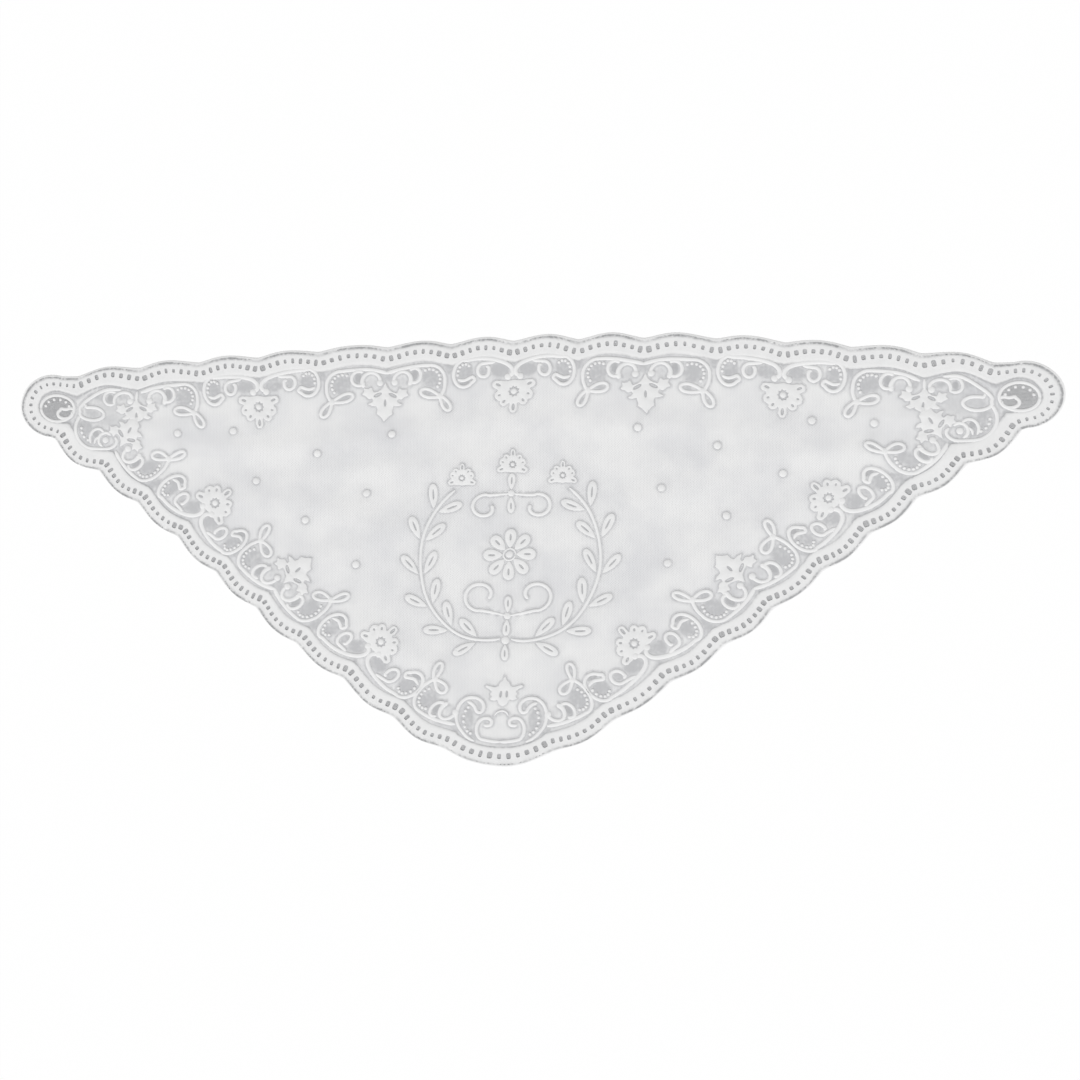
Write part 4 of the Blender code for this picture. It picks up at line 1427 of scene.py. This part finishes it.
# The net panel: a thin web, more open inside the scrolls, in the figures' holes and round each figure, and
# painted grey there as shade.
netPanel = {
    "low": 0.25,
    "high": 0.75,
    "tuckedInset": 20.0,
    # reach from the rim, over which the painted shade fades, strength: rings of painted shade round each
    # figure, in each hole and along the net's edge
    "halo": (2.9, 2.1, 0.78),
    "holeHalo": (2.2, 1.0, 1.15),
    "edgeHalo": (4.8, 3.0, 1.0),
    "edgeLine": (2.0, 0.9, 1.15),
    "edgeAtCrown": 0.45,
    "cornerFrom": 330.0,    # further out than this the fine line along the edge keeps its strength
    "edgeCuspShare": 0.22,  # the share of a lobe beside each cusp where the edge's ground opens
    "shadeGain": 1.7,
    # the panel's points: how far beyond a rim they lie, one to a cell of this size, clear of its own rims
    "haloSteps": [0.0, 1.2, 2.5],
    "haloCell": 0.95,
    "rimClear": 0.45,
    "rimFineness": 4,
    "grids": [(2.6, 0.0, 48.0), (6.0, 48.0, 400.0)],  # spacing, nearest and furthest from the border
    "gridClear": 0.45,  # the share of the spacing kept clear round the figures' points
    "lowGrid": 9.0,
    "lowClear": 1.0,
}

allFigures = Figures()
for figures in (scallops, edgeMotifs, corners, apex, middleWreath, dots, eyelets):
    allFigures.take(figures)


def figureRims():
    # rows of a point on a rim, the way out from it, and its share of the painted shade
    figureRows, holeRows, edgeRows, lineRows = [], [], [], []
    for line, widths, closed in allFigures.strokes:
        for point, width, left in zip(line, widths, lefts(line, closed)):
            figureRows += [(point + left * side * width / 2, left * side, 1.0) for side in (-1, 1)]
    for outline, holes in allFigures.pads:
        loop = counterClockwise(outline)
        figureRows += [(point, -left, 1.0) for point, left in zip(loop, lefts(loop, True))]
        for hole in holes:
            middle = sum(hole, Vector((0.0, 0.0))) / len(hole)
            holeRows += [(point, (middle - point).normalized(), 1.0) for point in hole]
    for centre, radius in allFigures.knots:
        ring = ovalLine(centre, (radius, radius), 12)
        figureRows += [(point, (point - centre).normalized(), 1.0) for point in ring]
    for line in edgeLines(cut["bandWidth"]):
        for n, (point, left) in enumerate(zip(line, lefts(line, False))):
            share = n / (len(line) - 1)
            atCusp = max(0.0, 1 - min(share, 1 - share) / netPanel["edgeCuspShare"])
            edgeRows.append((point, -left, atCusp))
            along = 1.0 if abs(point.x) > netPanel["cornerFrom"] else max(atCusp, netPanel["edgeAtCrown"])
            lineRows.append((point, -left, along))
    return {"halo": figureRows, "holeHalo": holeRows, "edgeHalo": edgeRows, "edgeLine": lineRows}


def openGroundShade(spots, rims):
    # how much painted shade the net gets at each spot where its ground is open
    openShade = np.zeros(len(spots))
    for centre, alongAxis, inAxis, strength in allFigures.shades:
        basis = np.linalg.inv(np.array([[alongAxis.x, inAxis.x], [alongAxis.y, inAxis.y]]))
        near = basis @ (spots - np.array(centre)).T
        inside = np.clip(1 - (near ** 2).sum(axis=0), 0, 1)
        openShade = np.maximum(openShade, strength * np.minimum(1.0, inside * netPanel["shadeGain"]))
    for name, rows in rims.items():
        reach, fade, strength = netPanel[name]
        tree = makeTree([point for point, _, _ in rows])
        found = [nearest(tree, spot) for spot in spots]
        fading = np.array([min(max((reach - distance) / fade, 0.0), 1.0) for _, distance in found])
        shares = np.array([rows[number][2] for number, _ in found])
        openShade = np.maximum(openShade, strength * fading * shares)
    return openShade


def gridPoints(outline, spacing):
    # a grid over an outline's box, every second row shifted by half a step
    low, high = asRows(outline).min(axis=0), asRows(outline).max(axis=0)
    for column in range(int(low[0] / spacing), int(high[0] / spacing) + 1):
        for row in range(int(low[1] / spacing), int(high[1] / spacing) + 1):
            yield (column + row % 2 / 2) * spacing, row * spacing


def makeNet():
    outline = edgeLoop(netPanel["tuckedInset"])
    opening = ovalLine(eyelet["centre"], eyelet["opening"], eyelet["steps"])
    loops = [outline, opening, mirrored(opening)]
    rimPoints = [resampled(ringed(loop), len(loop) * netPanel["rimFineness"]) for loop in loops]
    rimTree = makeTree([point for points in rimPoints for point in points])
    rims = figureRims()
    taken, loose = set(), []

    def offer(point, cell):
        # keeps a point unless its cell is taken or the panel's edge is near
        key = (round(point[0] / cell), round(point[1] / cell), cell)
        if key not in taken and nearest(rimTree, point)[1] > netPanel["rimClear"]:
            taken.add(key)
            loose.append(Vector(point[:2]))

    for rows in rims.values():
        for point, outward, _ in rows:
            for step in netPanel["haloSteps"]:
                offer(point + outward * step, netPanel["haloCell"])
    figureTree = makeTree(loose)
    for spacing, nearBy, farOff in netPanel["grids"]:
        for point in gridPoints(outline, spacing):
            isClear = nearest(figureTree, point)[1] > spacing * netPanel["gridClear"]
            if isClear and nearBy <= nearest(rimTree, point)[1] < farOff:
                offer(point, spacing / 2)
    under = [Vector(point) for point in gridPoints(outline, netPanel["lowGrid"])
             if nearest(rimTree, point)[1] > netPanel["lowClear"]]
    top = (loops, [], loose, lambda spots: np.full(len(spots), netPanel["high"]))
    bottom = (loops, [], under, lambda spots: np.full(len(spots), netPanel["low"]))
    points, faces, _ = closedPanel((top, bottom), loops)
    openShade = openGroundShade(np.array(points)[:, :2], rims)
    piece = makePiece("netPanel", points, faces, [net], pointValues={"openShade": openShade})
    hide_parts("net_ground")
    area = abs(signedArea(outline)) - 2 * abs(signedArea(opening))
    return piece, np.ptp(asRows(outline), axis=0) * mm, area * mm * mm


netPiece, netFlat, netArea = makeNet()


def stitched(name, figures):
    # the raised pieces of a group of figures: its cords, its pads and its knots
    cords, pads, knots = Stitching(), Stitching(), Stitching()
    for index, (line, widths, closed) in enumerate(figures.strokes):
        height = relief["cordHigh"] - relief["cordStagger"] * (index % relief["cordHeights"])
        addCord(cords, line, widths, relief["low"], height, closed)
    for outline, holes in figures.pads:
        addPad(pads, outline, holes, relief["low"], relief["padHigh"])
    for centre, radius in figures.knots:
        addKnot(knots, centre, radius, relief["low"], relief["knotHigh"])
    groups = (("Cords", cords, cordThread), ("Pads", pads, padThread), ("Knots", knots, padThread))
    return [made.make(name + kind, finish, "dense_lace") for kind, made, finish in groups if made.faces]


raised = []
for name, figures in (("scallop", scallops), ("edgeMotif", edgeMotifs), ("corner", corners), ("apex", apex),
                      ("wreath", middleWreath), ("ground", dots), ("eyelet", eyelets)):
    raised += stitched(name, figures)

threads = Stitching()
for line in crossThreads():
    addCord(threads, line, [eyelet["threadWidth"]] * len(line), *eyelet["threadHeights"])
raised.append(threads.make("eyeletThreads", shadeGreyThread, "net"))
tuple(netFlat)

# Camera straight above, plain pale floor, soft light from the upper left.
view = {"centre": (-0.0031, 0.01), "frameWidth": 1.08, "distance": 3.0, "sensor": 36.0}
camera = addToScene("camera", bpy.data.cameras.new("camera"))
camera.location = (*view["centre"], view["distance"])
camera.data.sensor_width = view["sensor"]
camera.data.lens = view["sensor"] * view["distance"] / view["frameWidth"]
bpy.context.scene.camera = camera

studio = {
    "floorColour": (0.985, 0.985, 0.985),
    "floorReach": 12.0,
    "sunStrength": 1.9,
    "sunTurn": (38.0, -14.0, 0.0),
    "sunSoftness": 24.0,
    "airStrength": 0.55,
}
floorReach = studio["floorReach"]
floorCorners = [(x * floorReach, y * floorReach, 0.0) for x, y in ((-1, -1), (1, -1), (1, 1), (-1, 1))]
floorMesh = bpy.data.meshes.new("floor")
floorMesh.from_pydata(floorCorners, [], [(0, 1, 2, 3)])
floor = addToScene("floor", floorMesh)
floorFinish = Finish("paleFloor", 1.0, 0.0, shine=0.0)
floorFinish.put({"Base Color": (*studio["floorColour"], 1.0)})
floorMesh.materials.append(floorFinish.material)

sun = addToScene("softLight", bpy.data.lights.new("softLight", "SUN"))
sun.data.energy = studio["sunStrength"]
sun.data.angle = math.radians(studio["sunSoftness"])
sun.rotation_euler = [math.radians(turn) for turn in studio["sunTurn"]]
air = bpy.data.worlds.new("studioAir")
air.use_nodes = True
airSockets = air.node_tree.nodes["Background"].inputs
airSockets["Color"].default_value = (1.0, 1.0, 1.0, 1.0)
airSockets["Strength"].default_value = studio["airStrength"]
bpy.context.scene.world = air
bpy.context.scene.view_settings.view_transform = "Standard"
print("studio lit")
